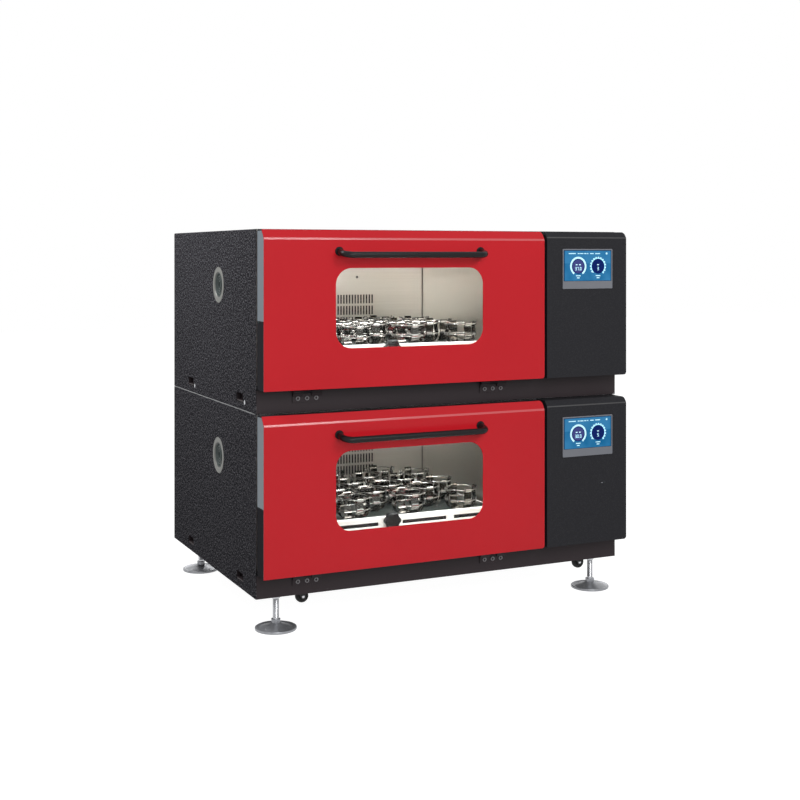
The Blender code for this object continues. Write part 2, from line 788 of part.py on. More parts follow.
def add_clamp(bm, centre):
    """A flask clamp: a low foot ring, four upright arms and a hoop, as one wall of cells."""
    base = platform_top + gap + clamp_sheet / 2
    top = platform_top + gap + clamp_sheet + clamp_height
    levels = [base, platform_top + clamp_foot_height, top - clamp_ring_drop - clamp_ring_height,
              top - clamp_ring_drop]
    filled = {}
    for layer in range(len(levels) - 1):
        for k in range(clamp_sides):
            filled[(layer, k)] = layer != 1 or k % 2 == 0
    verts = {}

    def corner(level, k, inner):
        key = (level, k % clamp_sides, inner)
        if key not in verts:
            angle = math.tau * (key[1] - 1 / 2) / clamp_sides
            radius = clamp_radius - (clamp_wall if inner else 0)
            verts[key] = bm.verts.new((centre[0] + radius * math.cos(angle),
                                       centre[1] + radius * math.sin(angle), levels[level]))
        return verts[key]

    for (layer, k), solid in filled.items():
        if not solid:
            continue
        for inner in (False, True):
            bm.faces.new((corner(layer, k, inner), corner(layer, k + 1, inner),
                          corner(layer + 1, k + 1, inner), corner(layer + 1, k, inner)))
        for step, level in ((-1, layer), (1, layer + 1)):
            if not filled.get((layer + step, k), False):
                bm.faces.new((corner(level, k, False), corner(level, k + 1, False),
                              corner(level, k + 1, True), corner(level, k, True)))
        for step, edge in ((-1, k), (1, k + 1)):
            if not filled[(layer, (k + step) % clamp_sides)]:
                bm.faces.new((corner(layer, edge, False), corner(layer + 1, edge, False),
                              corner(layer + 1, edge, True), corner(layer, edge, True)))


def make_clamps(tier, prefix, pivot):
    places = clamp_places()
    reach = clamp_radius + clamp_sheet_margin
    bm = bmesh.new()
    low = platform_top + gap
    add_box(bm, (min(x for x, y in places) - reach, platform_front + rail_depth + gap, low),
            (max(x for x, y in places) + reach, platform_front + platform_length - rail_depth - gap,
             low + clamp_sheet))
    made = piece(prefix + "flask_clamps", bm, "stainless", tier, pivot)
    cups = bmesh.new()
    for centre in places:
        add_clamp(cups, centre)
    tool(made, "UNION", cups)


def make_crank(tier, prefix):
    pivot = (platform_centre, crank_depth, pan_top)
    start = pan_top + journal_floor
    profile = [(0, start), (shaft_radius, start), (shaft_radius, pulley_bottom),
               (pulley_radius, pulley_bottom), (pulley_radius, pulley_top), (shaft_radius, pulley_top),
               (shaft_radius, crank_disc_bottom), (crank_disc_radius, crank_disc_bottom),
               (crank_disc_radius, crank_disc_top), (0, crank_disc_top)]
    bm = bmesh.new()
    add_turned(bm, profile, (platform_centre, crank_depth, 0))
    made = piece(prefix + "main_crank", bm, "steel", tier, pivot)
    weight = bmesh.new()
    outline = arc((platform_centre, crank_depth), counterweight_radius, -math.pi, 0, 2 * corner_steps)
    add_prism(weight, outline, "Z", counterweight_bottom, counterweight_bottom + counterweight_thickness)
    tool(made, "UNION", weight)
    pin = bmesh.new()
    pin_start = crank_disc_top - crank_disc_thickness / 2
    add_cylinder(pin, crank_pin_radius, (platform_centre, platform_mid_depth, pin_start),
                 pin_top - pin_start, sides=small_sides)
    tool(made, "UNION", pin)


def make_idler(tier, prefix, side, shift):
    x = platform_centre + shift
    pivot = (x, crank_depth, pan_top)
    start = pan_top + journal_floor
    profile = [(0, start), (idler_shaft_radius, start), (idler_shaft_radius, crank_disc_bottom),
               (idler_disc_radius, crank_disc_bottom), (idler_disc_radius, crank_disc_top),
               (0, crank_disc_top)]
    bm = bmesh.new()
    add_turned(bm, profile, (x, crank_depth, 0), sides=small_sides)
    made = piece(prefix + "idler_" + side, bm, "steel", tier, pivot)
    pin = bmesh.new()
    pin_start = crank_disc_top - crank_disc_thickness / 2
    add_cylinder(pin, idler_pin_radius, (x, platform_mid_depth, pin_start), pin_top - pin_start,
                 sides=small_sides)
    tool(made, "UNION", pin)


def make_motor(tier, prefix):
    base = pan_top + gap
    bore_floor = motor_height / 4
    bm = bmesh.new()
    bore = bore_radius(motor_shaft_radius, round_sides)
    add_turned(bm, [(0, 0), (motor_radius, 0), (motor_radius, motor_height), (bore, motor_height),
                    (bore, bore_floor - gap), (0, bore_floor - gap)],
               (platform_centre, motor_depth, base))
    piece(prefix + "drive_motor", bm, "motor_grey", tier)
    bm = bmesh.new()
    shaft_start = base + bore_floor
    add_turned(bm, [(0, shaft_start), (motor_shaft_radius, shaft_start), (motor_shaft_radius, pulley_bottom),
                    (motor_pulley_radius, pulley_bottom), (motor_pulley_radius, pulley_top),
                    (0, pulley_top)], (platform_centre, motor_depth, 0))
    piece(prefix + "motor_pulley", bm, "steel", tier, (platform_centre, motor_depth, shaft_start))


def belt_outline(extra):
    """Closed run of the belt round both pulleys, extra outside their rims."""
    big = pulley_radius + extra
    small = motor_pulley_radius + extra
    lean = math.asin((big - small) / motor_distance)
    front = (platform_centre, crank_depth)
    rear = (platform_centre, motor_depth)
    steps = 2 * corner_steps
    points = arc(front, big, math.pi - lean, math.tau + lean, 2 * steps)
    points += arc(rear, small, lean, math.pi - lean, steps)
    return points


def make_belt(tier, prefix):
    low = pulley_bottom + belt_inset
    high = pulley_top - belt_inset
    bm = bmesh.new()
    add_prism(bm, belt_outline(gap + belt_thickness), "Z", low, high)
    made = piece(prefix + "drive_belt", bm, "rubber", tier)
    inside = bmesh.new()
    add_prism(inside, belt_outline(2 * gap), "Z", low - overrun, high + overrun)
    tool(made, "DIFFERENCE", inside)


def make_fan(tier, prefix):
    outline = []
    for k in range(fan_blades):
        angle = math.tau * k / fan_blades
        half_tip = math.asin(fan_blade_thickness / 2 / fan_radius)
        half_root = math.asin(fan_blade_thickness / 2 / fan_hub_radius)
        for radius, turn in ((fan_hub_radius, -half_root), (fan_radius, -half_tip), (fan_radius, half_tip),
                             (fan_hub_radius, half_root)):
            outline.append((fan_x + radius * math.cos(angle + turn),
                            fan_height + radius * math.sin(angle + turn)))
    pivot = (fan_x, fan_front_depth, fan_height)
    bm = bmesh.new()
    add_prism(bm, outline, "Y", fan_front_depth, fan_front_depth + fan_width)
    made = piece(prefix + "fan_wheel", bm, "fan_black", tier, pivot)
    bore = bmesh.new()
    add_cylinder(bore, bore_radius(fan_shaft_radius), (fan_x, fan_front_depth - overrun, fan_height),
                 fan_width + 2 * overrun, "Y", small_sides)
    tool(made, "DIFFERENCE", bore)


def foot_places():
    xs = (foot_inset_x, cabinet_width - foot_inset_x)
    ys = (foot_front_inset, cabinet_depth - foot_rear_inset)
    return [(x, y) for y in ys for x in xs]


def make_feet(tier):
    names = ("front_left", "front_right", "rear_left", "rear_right")
    for name, (x, y) in zip(names, foot_places()):
        floor = -floor_clearance
        profile = [(0, floor), (foot_radius, floor), (foot_radius, floor + foot_rim),
                   (foot_flange_radius, floor + foot_rim), (foot_hub_radius, floor + foot_dome),
                   (foot_hub_radius, floor + foot_hub_height),
                   (stem_radius, floor + foot_hub_height), (stem_radius, stem_reach), (0, stem_reach)]
        bm = bmesh.new()
        add_turned(bm, profile, (x, y, 0))
        piece("levelling_foot_" + name, bm, "zinc", tier, (x, y, floor))


def caster_places():
    xs = (caster_inset_x, cabinet_width - caster_inset_x)
    ys = (caster_front_inset, cabinet_depth - caster_rear_inset)
    return [(x, y) for y in ys for x in xs]


def make_casters(tier):
    names = ("front_left", "front_right", "rear_left", "rear_right")
    for name, (x, y) in zip(names, caster_places()):
        axle_x = x + caster_trail
        axle_z = -wheel_drop
        half = fork_width / 2
        crown_top = pan_level - gap
        crown_low = crown_top - fork_crown
        reach = 2 * axle_radius
        pivot = (x, y, crown_top)
        bm = bmesh.new()
        add_box(bm, (x - fork_length / 2, y - half - fork_side, crown_low),
                (axle_x + fork_length / 2, y + half + fork_side, crown_top))
        made = piece("caster_fork_" + name, bm, "caster_black", tier, pivot)
        outline = arc((axle_x, axle_z), reach, -math.pi, 0, corner_steps)
        outline += [(axle_x + fork_length / 2 - gap, crown_low + fork_crown / 2),
                    (x - fork_length / 2 + gap, crown_low + fork_crown / 2)]
        legs = bmesh.new()
        for side in (-1, 1):
            ends = sorted((y + side * half, y + side * (half + fork_side - gap)))
            add_prism(legs, outline, "Y", ends[0], ends[1])
        tool(made, "UNION", legs)
        axle = bmesh.new()
        add_cylinder(axle, axle_radius, (axle_x, y - half - fork_side / 2, axle_z),
                     2 * half + fork_side, "Y", small_sides)
        tool(made, "UNION", axle)
        bm = bmesh.new()
        bore = bore_radius(axle_radius, round_sides)
        add_turned(bm, [(bore, 0), (wheel_radius, 0), (wheel_radius, wheel_width), (bore, wheel_width)],
                   (axle_x, y - wheel_width / 2, axle_z), "Y")
        piece("caster_wheel_" + name, bm, "caster_black", tier, (axle_x, y, axle_z))


def make_tier(index, name):
    tier = bpy.data.objects.new(name + "_tier", None)
    bpy.context.collection.objects.link(tier)
    tier.location = (-cabinet_width / 2, front_y, floor_clearance + index * tier_height)
    prefix = name + "_"
    platform_pivot = (platform_centre, platform_mid_depth, hub_bottom)
    make_shell(tier, prefix)
    make_rear_panel(tier, prefix)
    make_base_pan(tier, prefix, index == 0)
    make_liner(tier, prefix)
    make_door(tier, prefix)
    for side, centre in zip(("left", "right"), hinge_centres()):
        make_hinge(tier, prefix, side, centre)
    make_fascia(tier, prefix)
    make_vent(tier, prefix)
    make_platform(tier, prefix, platform_pivot)
    make_clamps(tier, prefix, platform_pivot)
    make_knob(tier, prefix)
    make_crank(tier, prefix)
    make_idler(tier, prefix, "left", -idler_spread)
    make_idler(tier, prefix, "right", idler_spread)
    make_motor(tier, prefix)
    make_belt(tier, prefix)
    make_fan(tier, prefix)
    return tier


made_tiers = [make_tier(index, name) for index, name in enumerate(tiers)]
make_feet(made_tiers[0])
make_casters(made_tiers[0])
bpy.context.view_layer.update()
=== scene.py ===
import math

import bmesh
import bpy
from mathutils import Matrix, Vector


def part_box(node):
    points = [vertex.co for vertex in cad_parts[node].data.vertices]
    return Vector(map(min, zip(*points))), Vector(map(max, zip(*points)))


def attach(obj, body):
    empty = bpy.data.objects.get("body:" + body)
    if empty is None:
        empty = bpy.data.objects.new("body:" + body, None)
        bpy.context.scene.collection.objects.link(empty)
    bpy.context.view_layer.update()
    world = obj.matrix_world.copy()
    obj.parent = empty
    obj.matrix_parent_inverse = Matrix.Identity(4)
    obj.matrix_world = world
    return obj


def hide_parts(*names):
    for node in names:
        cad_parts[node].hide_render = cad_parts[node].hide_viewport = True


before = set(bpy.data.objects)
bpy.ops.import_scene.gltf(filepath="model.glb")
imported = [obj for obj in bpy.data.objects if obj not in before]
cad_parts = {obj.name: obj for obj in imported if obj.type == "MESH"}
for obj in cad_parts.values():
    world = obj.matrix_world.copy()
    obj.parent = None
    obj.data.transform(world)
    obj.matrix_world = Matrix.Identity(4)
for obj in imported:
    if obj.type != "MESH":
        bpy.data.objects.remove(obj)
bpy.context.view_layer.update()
print("frame loaded:", len(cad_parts), "nodes")

scene = bpy.context.scene
quarter = math.pi / 2
tierNames = ("lower", "upper")
tierOrigin = {name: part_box(name + "_cabinet_shell")[0] for name in tierNames}


def localBox(node):  # a node's corners in its tier's own coordinates
    low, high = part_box("lower_" + node)
    return low - tierOrigin["lower"], high - tierOrigin["lower"]


shellHigh = localBox("cabinet_shell")[1]
rearHigh = localBox("rear_panel")[1]
doorLow, doorHigh = localBox("door_skin")
fasciaLow, fasciaHigh = localBox("control_fascia")
linerLow, linerHigh = localBox("chamber_liner")
ventLow, ventHigh = localBox("side_vent")
screenLow, screenHigh = localBox("touchscreen")
gasketLow, gasketHigh = localBox("door_gasket")
clampLow, clampHigh = localBox("flask_clamps")


# Camera, light and floor

camera = {"height": 1.0692, "turn": -25.3, "lens": 56.79, "shift": -0.1825, "place": (-1.7509, -3.7393), "far": 60}
lampPlan = {  # place, target, size, power
    "key": ((-0.9, -4.6, 1.9), (0.0, -0.2, 0.7), 2.2, 97),
    "fill": ((0.85, -3.8, 2.85), (-0.2, -0.4, 0.8), 1.3, 46),
    "left": ((-1.8, 0.3, 2.25), (-0.6, 0.2, 1.05), 0.7, 34),
    "rear": ((1.6, 3.8, 3.2), (0.0, 0.3, 0.6), 3.0, 60),
}
chamberLamp = {"width": 0.040, "depth": 0.070, "level": 0.456,  # per tier: length, shift to the right, power
               "upper": (0.72, 0.0, 8.0), "lower": (0.50, 0.12, 4.7)}
backdrop = {"soft": 0.26, "seen": 1.0, "floorReach": 14, "floorGrey": 0.24, "floorGlow": 0.97}


def addNode(tree, kind, *inputs, **named):  # lower-case names are settings; a socket takes a constant or an output
    node = tree.nodes.new(kind)
    for key, value in (*named.items(), *enumerate(inputs)):
        if hasattr(node, str(key)):
            setattr(node, key, value)
            continue
        socket = node.inputs[key if isinstance(key, int) else key.replace("_", " ")]
        if hasattr(value, "is_linked"):
            tree.links.new(value, socket)
        else:
            socket.default_value = value
    return node


def newObject(name, data):
    made = bpy.data.objects.new(name, data)
    scene.collection.objects.link(made)
    return made


def newSurface(name, sockets):  # a material with its Principled shader set
    made = bpy.data.materials.new(name)
    made.use_nodes = True
    shader = made.node_tree.nodes["Principled BSDF"]
    for label, value in sockets.items():
        shader.inputs[label].default_value = value
    return made, made.node_tree, shader


def makeCamera():
    data = bpy.data.cameras.new("camera")
    data.lens = camera["lens"]
    data.shift_y = camera["shift"]
    data.clip_end = camera["far"]
    eye = newObject("camera", data)
    eye.location = (*camera["place"], camera["height"])
    eye.rotation_euler = (quarter, 0, math.radians(camera["turn"]))
    scene.camera = eye


def addLamp(name, shape, size, power, place):
    data = bpy.data.lights.new(name, "AREA")
    data.shape = shape
    data.size = size
    data.energy = power
    lamp = newObject(name, data)
    lamp.location = place
    return lamp


def makeLamps():
    for name, (place, target, size, power) in lampPlan.items():
        lamp = addLamp(name, "DISK", size, power, place)
        lamp.rotation_euler = (Vector(target) - Vector(place)).to_track_quat("-Z", "Y").to_euler()
    for tier in tierNames:
        size, shift, power = chamberLamp[tier]
        middle = (linerLow.x + linerHigh.x) / 2 + shift
        place = tierOrigin[tier] + Vector((middle, chamberLamp["depth"], chamberLamp["level"]))
        addLamp(tier + "Chamber", "RECTANGLE", size, power, place).data.size_y = chamberLamp["width"]


def seenDirectly(tree):  # 1 for what the camera, a mirror or a pane shows, 0 for light on the object
    path = addNode(tree, "ShaderNodeLightPath")
    total = path.outputs["Is Camera Ray"]
    for label in ("Is Glossy Ray", "Is Transmission Ray"):
        add = addNode(tree, "ShaderNodeMath", total, path.outputs[label], operation="ADD", use_clamp=True)
        total = add.outputs[0]
    return total


def makeWorld():
    world = bpy.data.worlds.new("studio")
    scene.world = world
    world.use_nodes = True
    tree = world.node_tree
    tree.nodes.clear()
    shades = [addNode(tree, "ShaderNodeBackground", (1, 1, 1, 1), backdrop[name]).outputs[0]
              for name in ("soft", "seen")]
    mix = addNode(tree, "ShaderNodeMixShader", seenDirectly(tree), *shades)
    addNode(tree, "ShaderNodeOutputWorld", mix.outputs[0])


def makeFloor():
    mesh = bpy.data.meshes.new("floor")
    reach, grey = backdrop["floorReach"], backdrop["floorGrey"]
    corners = [(-reach, -reach, 0), (reach, -reach, 0), (reach, reach, 0), (-reach, reach, 0)]
    mesh.from_pydata(corners, [], [(0, 1, 2, 3)])
    surface, tree, shader = newSurface("paleFloor", {"Base Color": (grey, grey, grey, 1), "Roughness": 0.9,
                                                     "Specular IOR Level": 0.1})
    glow = addNode(tree, "ShaderNodeEmission", Strength=backdrop["floorGlow"])
    both = addNode(tree, "ShaderNodeAddShader", shader.outputs[0], glow.outputs[0])
    pick = addNode(tree, "ShaderNodeMixShader", seenDirectly(tree), shader.outputs[0], both.outputs[0])
    tree.links.new(pick.outputs[0], tree.nodes["Material Output"].inputs[0])
    mesh.materials.append(surface)
    newObject("floor", mesh)


scene.view_settings.view_transform = "Standard"
makeCamera()
makeLamps()
makeWorld()
makeFloor()
print("camera, lights and floor ready")


# Shared shader effects, each one group with its own values in every material

def newTree(name, kind, inputs, outputs):  # a node group with its sockets
    tree = bpy.data.node_groups.new(name, kind)
    for label, socket in outputs:
        tree.interface.new_socket(label, in_out="OUTPUT", socket_type="NodeSocket" + socket)
    for label, socket, *value in inputs:
        made = tree.interface.new_socket(label, in_out="INPUT", socket_type="NodeSocket" + socket)
        if value:
            made.default_value = value[0]
    return tree, tree.nodes.new("NodeGroupInput").outputs, tree.nodes.new("NodeGroupOutput").inputs


def newEffect(name, inputs):
    tree, start, end = newTree(name, "ShaderNodeTree", inputs,
                               [("Color", "Color"), ("Roughness", "Float"), ("Height", "Float")])
    return tree, start, end, addNode(tree, "ShaderNodeTexCoord").outputs["Object"]


def closeEffect(tree, end, share, colours, rough, height):  # blends the two colours and closes the group
    blend = addNode(tree, "ShaderNodeMix", data_type="RGBA", Factor=share)
    tree.links.new(colours[0], blend.inputs[6])
    tree.links.new(colours[1], blend.inputs[7])
    for source, label in ((blend.outputs[2], "Color"), (rough.outputs[0], "Roughness"), (height, "Height")):
        tree.links.new(source, end[label])
    return tree


def makeSpeckle():  # a sprayed coat: pale flecks over a base colour, with a fine bump
    tree, start, end, where = newEffect("speckle", [("Base", "Color"), ("Fleck", "Color"), ("Scale", "Float"),
                                                    ("Amount", "Float")])
    fine = addNode(tree, "ShaderNodeTexNoise", Vector=where, Scale=start["Scale"], Detail=3.0).outputs["Fac"]
    spread = addNode(tree, "ShaderNodeMapRange", Value=fine, From_Min=0.50, From_Max=0.64)
    share = addNode(tree, "ShaderNodeMath", spread.outputs[0], start["Amount"], operation="MULTIPLY").outputs[0]
    broad = addNode(tree, "ShaderNodeTexNoise", Vector=where, Scale=6.0).outputs["Fac"]
    rough = addNode(tree, "ShaderNodeMapRange", Value=broad, To_Min=0.46, To_Max=0.62)
    return closeEffect(tree, end, share, (start["Base"], start["Fleck"]), rough, fine)


def makeTone():  # slow drift of colour and roughness, as handling and cleaning leave it
    tree, start, end, where = newEffect("tone", [
        ("Dark", "Color"), ("Light", "Color"), ("Scale", "Float", 5.0), ("Rough Low", "Float"),
        ("Rough High", "Float"), ("Grain", "Float", 600.0)])
    broad = addNode(tree, "ShaderNodeTexNoise", Vector=where, Scale=start["Scale"], Detail=4.0).outputs["Fac"]
    rough = addNode(tree, "ShaderNodeMapRange", Value=broad, To_Min=start["Rough Low"], To_Max=start["Rough High"])
    grain = addNode(tree, "ShaderNodeTexNoise", Vector=where, Scale=start["Grain"]).outputs["Fac"]
    return closeEffect(tree, end, broad, (start["Dark"], start["Light"]), rough, grain)


def makeBrushed():  # long fine lines of brushed or rolled metal, stretched along one axis
    tree, start, end, where = newEffect("brushed", [
        ("Stretch", "Vector"), ("Dark", "Color"), ("Light", "Color"), ("Rough Low", "Float"),
        ("Rough High", "Float")])
    place = addNode(tree, "ShaderNodeMapping", Vector=where, Scale=start["Stretch"]).outputs[0]
    lines = addNode(tree, "ShaderNodeTexNoise", Vector=place, Scale=1.0, Detail=3.0).outputs["Fac"]
    rough = addNode(tree, "ShaderNodeMapRange", Value=lines, To_Min=start["Rough Low"], To_Max=start["Rough High"])
    return closeEffect(tree, end, lines, (start["Dark"], start["Light"]), rough, lines)


effects = {"speckle": makeSpeckle(), "tone": makeTone(), "brushed": makeBrushed()}
effectLabels = {"speckle": ("Base", "Fleck", "Scale", "Amount"),
                "tone": ("Dark", "Light", "Rough Low", "Rough High", "Scale", "Grain"),
                "brushed": ("Dark", "Light", "Rough Low", "Rough High", "Stretch")}
finishPlan = {  # effect, its values as in effectLabels, bump, specular level, metallic, distance of the bump
    "powderCoat": ("speckle", ((0.023, 0.0225, 0.026), (0.215, 0.211, 0.230), 210.0, 0.70), 0.35, 0.0, 0.0, 0.0006),
    "fasciaBlack": ("speckle", ((0.019, 0.019, 0.022), (0.036, 0.036, 0.040), 420.0, 0.5), 0.12, 0.10),
    "baseBlack": ("tone", ((0.020, 0.014, 0.016), (0.030, 0.022, 0.025), 0.42, 0.54), 0.12, 0.2),
    "doorRed": ("tone", ((0.500, 0.009, 0.016), (0.560, 0.013, 0.021), 0.20, 0.26, 3.0, 160.0), 0.03, 0.2, 0, 0.0008),
    # paler, pinker red on the crease facet: a painted highlight, with a lower roughness for a real one
    "redCrease": ("tone", ((0.560, 0.060, 0.070), (0.620, 0.100, 0.110), 0.16, 0.22, 3.0, 160.0), 0.02, 0.5, 0, 0.0008),
    "doorBlack": ("tone", ((0.030, 0.029, 0.033), (0.038, 0.037, 0.042), 0.24, 0.34), 0.08, 0.0),
    # paler black on the fascia's crease facet and rounded left edge: a painted highlight
    "fasciaCrease": ("tone", ((0.030, 0.030, 0.032), (0.045, 0.044, 0.046), 0.25, 0.35), 0.05),
    # grey-blue on the upper part of the door's left side: a painted reflection
    "doorEdgeGrey": ("tone", ((0.118, 0.150, 0.180), (0.132, 0.165, 0.196), 0.30, 0.34, 6.0), 0.03, 0.2),
    "handleBlack": ("tone", ((0.010, 0.009, 0.010), (0.016, 0.014, 0.015), 0.18, 0.26), 0.10, 0.14),
    "knobBlack": ("tone", ((0.008, 0.008, 0.009), (0.014, 0.014, 0.015), 0.38, 0.5), 0.2, 0.3),
    "rubberBlack": ("tone", ((0.010, 0.010, 0.010), (0.020, 0.020, 0.020), 0.6, 0.75), 0.3, 0.3),
    "matBlack": ("tone", ((0.010, 0.013, 0.012), (0.020, 0.025, 0.023), 0.30, 0.50, 14.0), 0.2, 0.3),
    "ventGrey": ("tone", ((0.110, 0.112, 0.102), (0.185, 0.187, 0.171), 0.40, 0.52, 60.0), 0.15),
    "ventDark": ("tone", ((0.010, 0.018, 0.018), (0.060, 0.080, 0.076), 0.45, 0.55, 60.0), 0.1),
    # pale grey on the strip between the tiers: a painted highlight of the lower tier's top edge
    "seamPale": ("tone", ((0.340, 0.350, 0.352), (0.420, 0.430, 0.434), 0.4, 0.5), 0.05, 0.1),
    "bezelGrey": ("tone", ((0.160, 0.168, 0.190), (0.195, 0.204, 0.228), 0.36, 0.44, 12.0), 0.05, 0.3),
    "zinc": ("tone", ((0.400, 0.405, 0.425), (0.580, 0.585, 0.605), 0.16, 0.30, 40.0), 0.06, 0.5, 1.0),
    "screwGrey": ("tone", ((0.130, 0.124, 0.130), (0.210, 0.202, 0.210), 0.30, 0.42, 60.0), 0.06, 0.5, 0.7),
    "satinZinc": ("tone", ((0.200, 0.205, 0.220), (0.420, 0.430, 0.455), 0.28, 0.44, 60.0), 0.08, 0.5, 0.55),
    "machineSteel": ("tone", ((0.300, 0.300, 0.310), (0.420, 0.420, 0.430), 0.28, 0.4, 20.0), 0.1, 0.5, 1.0),
    "motorGrey": ("tone", ((0.085, 0.092, 0.100), (0.120, 0.128, 0.138), 0.45, 0.55), 0.2),
    "stainless": ("brushed", ((0.560, 0.528, 0.482), (0.660, 0.630, 0.582), 0.26, 0.38,
                 (3, 260, 260)), 0.06, 0.5, 1.0),
    # one steel in two shades: darkened as painted shade on the clamps' cups, straps and mat screws, brightened as a
    # painted highlight on their lips, cuffs and wires
    "springSteel": ("brushed", ((0.045, 0.042, 0.038), (0.160, 0.150, 0.138), 0.08, 0.16,
                 (90, 90, 20)), 0.04, 0.5, 1.0),
    "brightSteel": ("brushed", ((0.360, 0.348, 0.330), (0.640, 0.624, 0.600), 0.18, 0.28,
                 (90, 90, 20)), 0.04, 0.5, 0.9),
    "aluminium": ("brushed", ((0.860, 0.860, 0.840), (0.930, 0.930, 0.910), 0.34, 0.46,
                 (5, 320, 320)), 0.05, 0.5, 0.2),
}


def makeFinish(name, effect, values, bump, specular=0.5, metallic=0.0, bumpSize=0.0004):
    made, tree, shader = newSurface(name, {"Specular IOR Level": specular, "Metallic": metallic})
    group = addNode(tree, "ShaderNodeGroup", node_tree=effects[effect])
    for label, value in zip(effectLabels[effect], values):
        group.inputs[label].default_value = (*value, 1) if isinstance(value, tuple) and label != "Stretch" else value
    for label, target in (("Color", "Base Color"), ("Roughness", "Roughness")):
        tree.links.new(group.outputs[label], shader.inputs[target])
    relief = addNode(tree, "ShaderNodeBump", Strength=bump, Distance=bumpSize, Height=group.outputs["Height"])
    tree.links.new(relief.outputs[0], shader.inputs["Normal"])
    return made


glowPlan = {"screenBlue": ((0.004, 0.060, 0.160), 0.9, 0.12), "screenRim": ((0.006, 0.035, 0.090), 0.5, 0.2),
            "screenWhite": ((0.50, 0.78, 0.86), 0.45, 0.2), "dialViolet": ((0.036, 0.042, 0.150), 0.6, 0.2),
            "dialNavy": ((0.002, 0.010, 0.080), 0.6, 0.2)}  # colour, strength, roughness


def makeGlow(name, colour, strength, rough):  # a lit area of the screen
    return newSurface(name, {"Base Color": (*colour, 1), "Roughness": rough, "Specular IOR Level": 0.05,
                             "Emission Color": (*colour, 1), "Emission Strength": strength})[0]


def shadeScreen(tree):  # lit field, darker along its frame and paler towards the bottom
    where = addNode(tree, "ShaderNodeTexCoord").outputs["Object"]
    split = addNode(tree, "ShaderNodeSeparateXYZ", where)
    spacing = tierOrigin["upper"].z - tierOrigin["lower"].z
    bottom = (tierOrigin["lower"].z + screenLow.z) % spacing
    level = addNode(tree, "ShaderNodeMath", split.outputs[2], spacing, operation="FLOORED_MODULO")
    rise = addNode(tree, "ShaderNodeMapRange", Value=level.outputs[0], From_Min=bottom,
                   From_Max=bottom + screenHigh.z - screenLow.z)
    drift = addNode(tree, "ShaderNodeTexNoise", Vector=where, Scale=26.0, Detail=1.0)
    blend = addNode(tree, "ShaderNodeMath", rise.outputs[0], 0.55, drift.outputs["Fac"], operation="MULTIPLY_ADD")
    ramp = addNode(tree, "ShaderNodeValToRGB", blend.outputs[0])
    for stop, place, colour in zip(ramp.color_ramp.elements, (0.45, 1.00), ((0.038, 0.178, 0.325, 1),
                                                                            (0.004, 0.088, 0.185, 1))):
        stop.position, stop.color = place, colour
    tree.links.new(ramp.outputs["Color"], tree.nodes["Principled BSDF"].inputs["Emission Color"])


finishes = {name: makeFinish(name, *row) for name, row in finishPlan.items()}
finishes.update({name: makeGlow(name, *row) for name, row in glowPlan.items()})
shadeScreen(finishes["screenBlue"].node_tree)
clearPane = newSurface("clearPane", {"Base Color": (0.94, 0.97, 0.96, 1), "Roughness": 0.0, "IOR": 1.12,
                                     "Transmission Weight": 1.0})[0]
print("materials ready")


# Mesh helpers; shapes are written in a tier's own coordinates and moved into place

def addBox(bm, low, high):
    corners = [bm.verts.new((x, y, z)) for x in (low[0], high[0]) for y in (low[1], high[1])
               for z in (low[2], high[2])]
    for face in ((0, 1, 3, 2), (4, 6, 7, 5), (0, 4, 5, 1), (2, 3, 7, 6), (0, 2, 6, 4), (1, 5, 7, 3)):
        bm.faces.new([corners[i] for i in face])


def addPrism(bm, outline, axis, low, high):
    order = {"X": lambda a, b, h: (h, a, b), "Y": lambda a, b, h: (a, h, b), "Z": lambda a, b, h: (a, b, h)}[axis]
    bottom = [bm.verts.new(order(a, b, low)) for a, b in outline]
    top = [bm.verts.new(order(a, b, high)) for a, b in outline]
    bm.faces.new(bottom)
    bm.faces.new(top)
    for i, here in enumerate(bottom):
        j = (i + 1) % len(bottom)
        bm.faces.new((here, bottom[j], top[j], top[i]))


def prismMesh(outline, axis, low, high):
    bm = bmesh.new()
    addPrism(bm, outline, axis, low, high)
    return bm


def bridge(bm, rings, closed=False):  # faces between neighbouring rings; an open row of rings gets end caps
    for low, high in zip(rings, rings[1:] + rings[:1] if closed else rings[1:]):
        for k in range(len(low)):
            n = (k + 1) % len(low)
            bm.faces.new((low[k], low[n], high[n], high[k]))
    if not closed:
        bm.faces.new(rings[0])
        bm.faces.new(rings[-1])


axisTurn = {"Z": Matrix.Identity(4), "X": Matrix.Rotation(quarter, 4, "Y"), "Y": Matrix.Rotation(-quarter, 4, "X")}


def addTurned(bm, profile, centre, axis="Z", sides=48):  # profile of (radius, height), closed or ending on the axis
    place = Matrix.Translation(centre) @ axisTurn[axis]
    rings = []
    for radius, height in profile:
        turns = [math.tau * k / sides for k in range(sides)] if radius else [0]
        rings.append([bm.verts.new(place @ Vector((radius * math.cos(a), radius * math.sin(a), height)))
                      for a in turns])
    pairs = list(zip(rings, rings[1:])) + ([(rings[-1], rings[0])] if profile[0][0] != 0 else [])
    for low, high in pairs:
        for k in range(sides):
            n = (k + 1) % sides
            if len(low) == 1:
                bm.faces.new((low[0], high[k], high[n]))
            elif len(high) == 1:
                bm.faces.new((low[k], low[n], high[0]))
            else:
                bm.faces.new((low[k], low[n], high[n], high[k]))


def addDrum(bm, radius, low, high, centre, axis, sides):  # a plain cylinder
    addTurned(bm, [(0, low), (radius, low), (radius, high), (0, high)], centre, axis, sides)


def arc(centre, radius, start, end, steps=8):
    turns = [start + (end - start) * k / steps for k in range(steps + 1)]
    return [(centre[0] + radius * math.cos(a), centre[1] + radius * math.sin(a)) for a in turns]


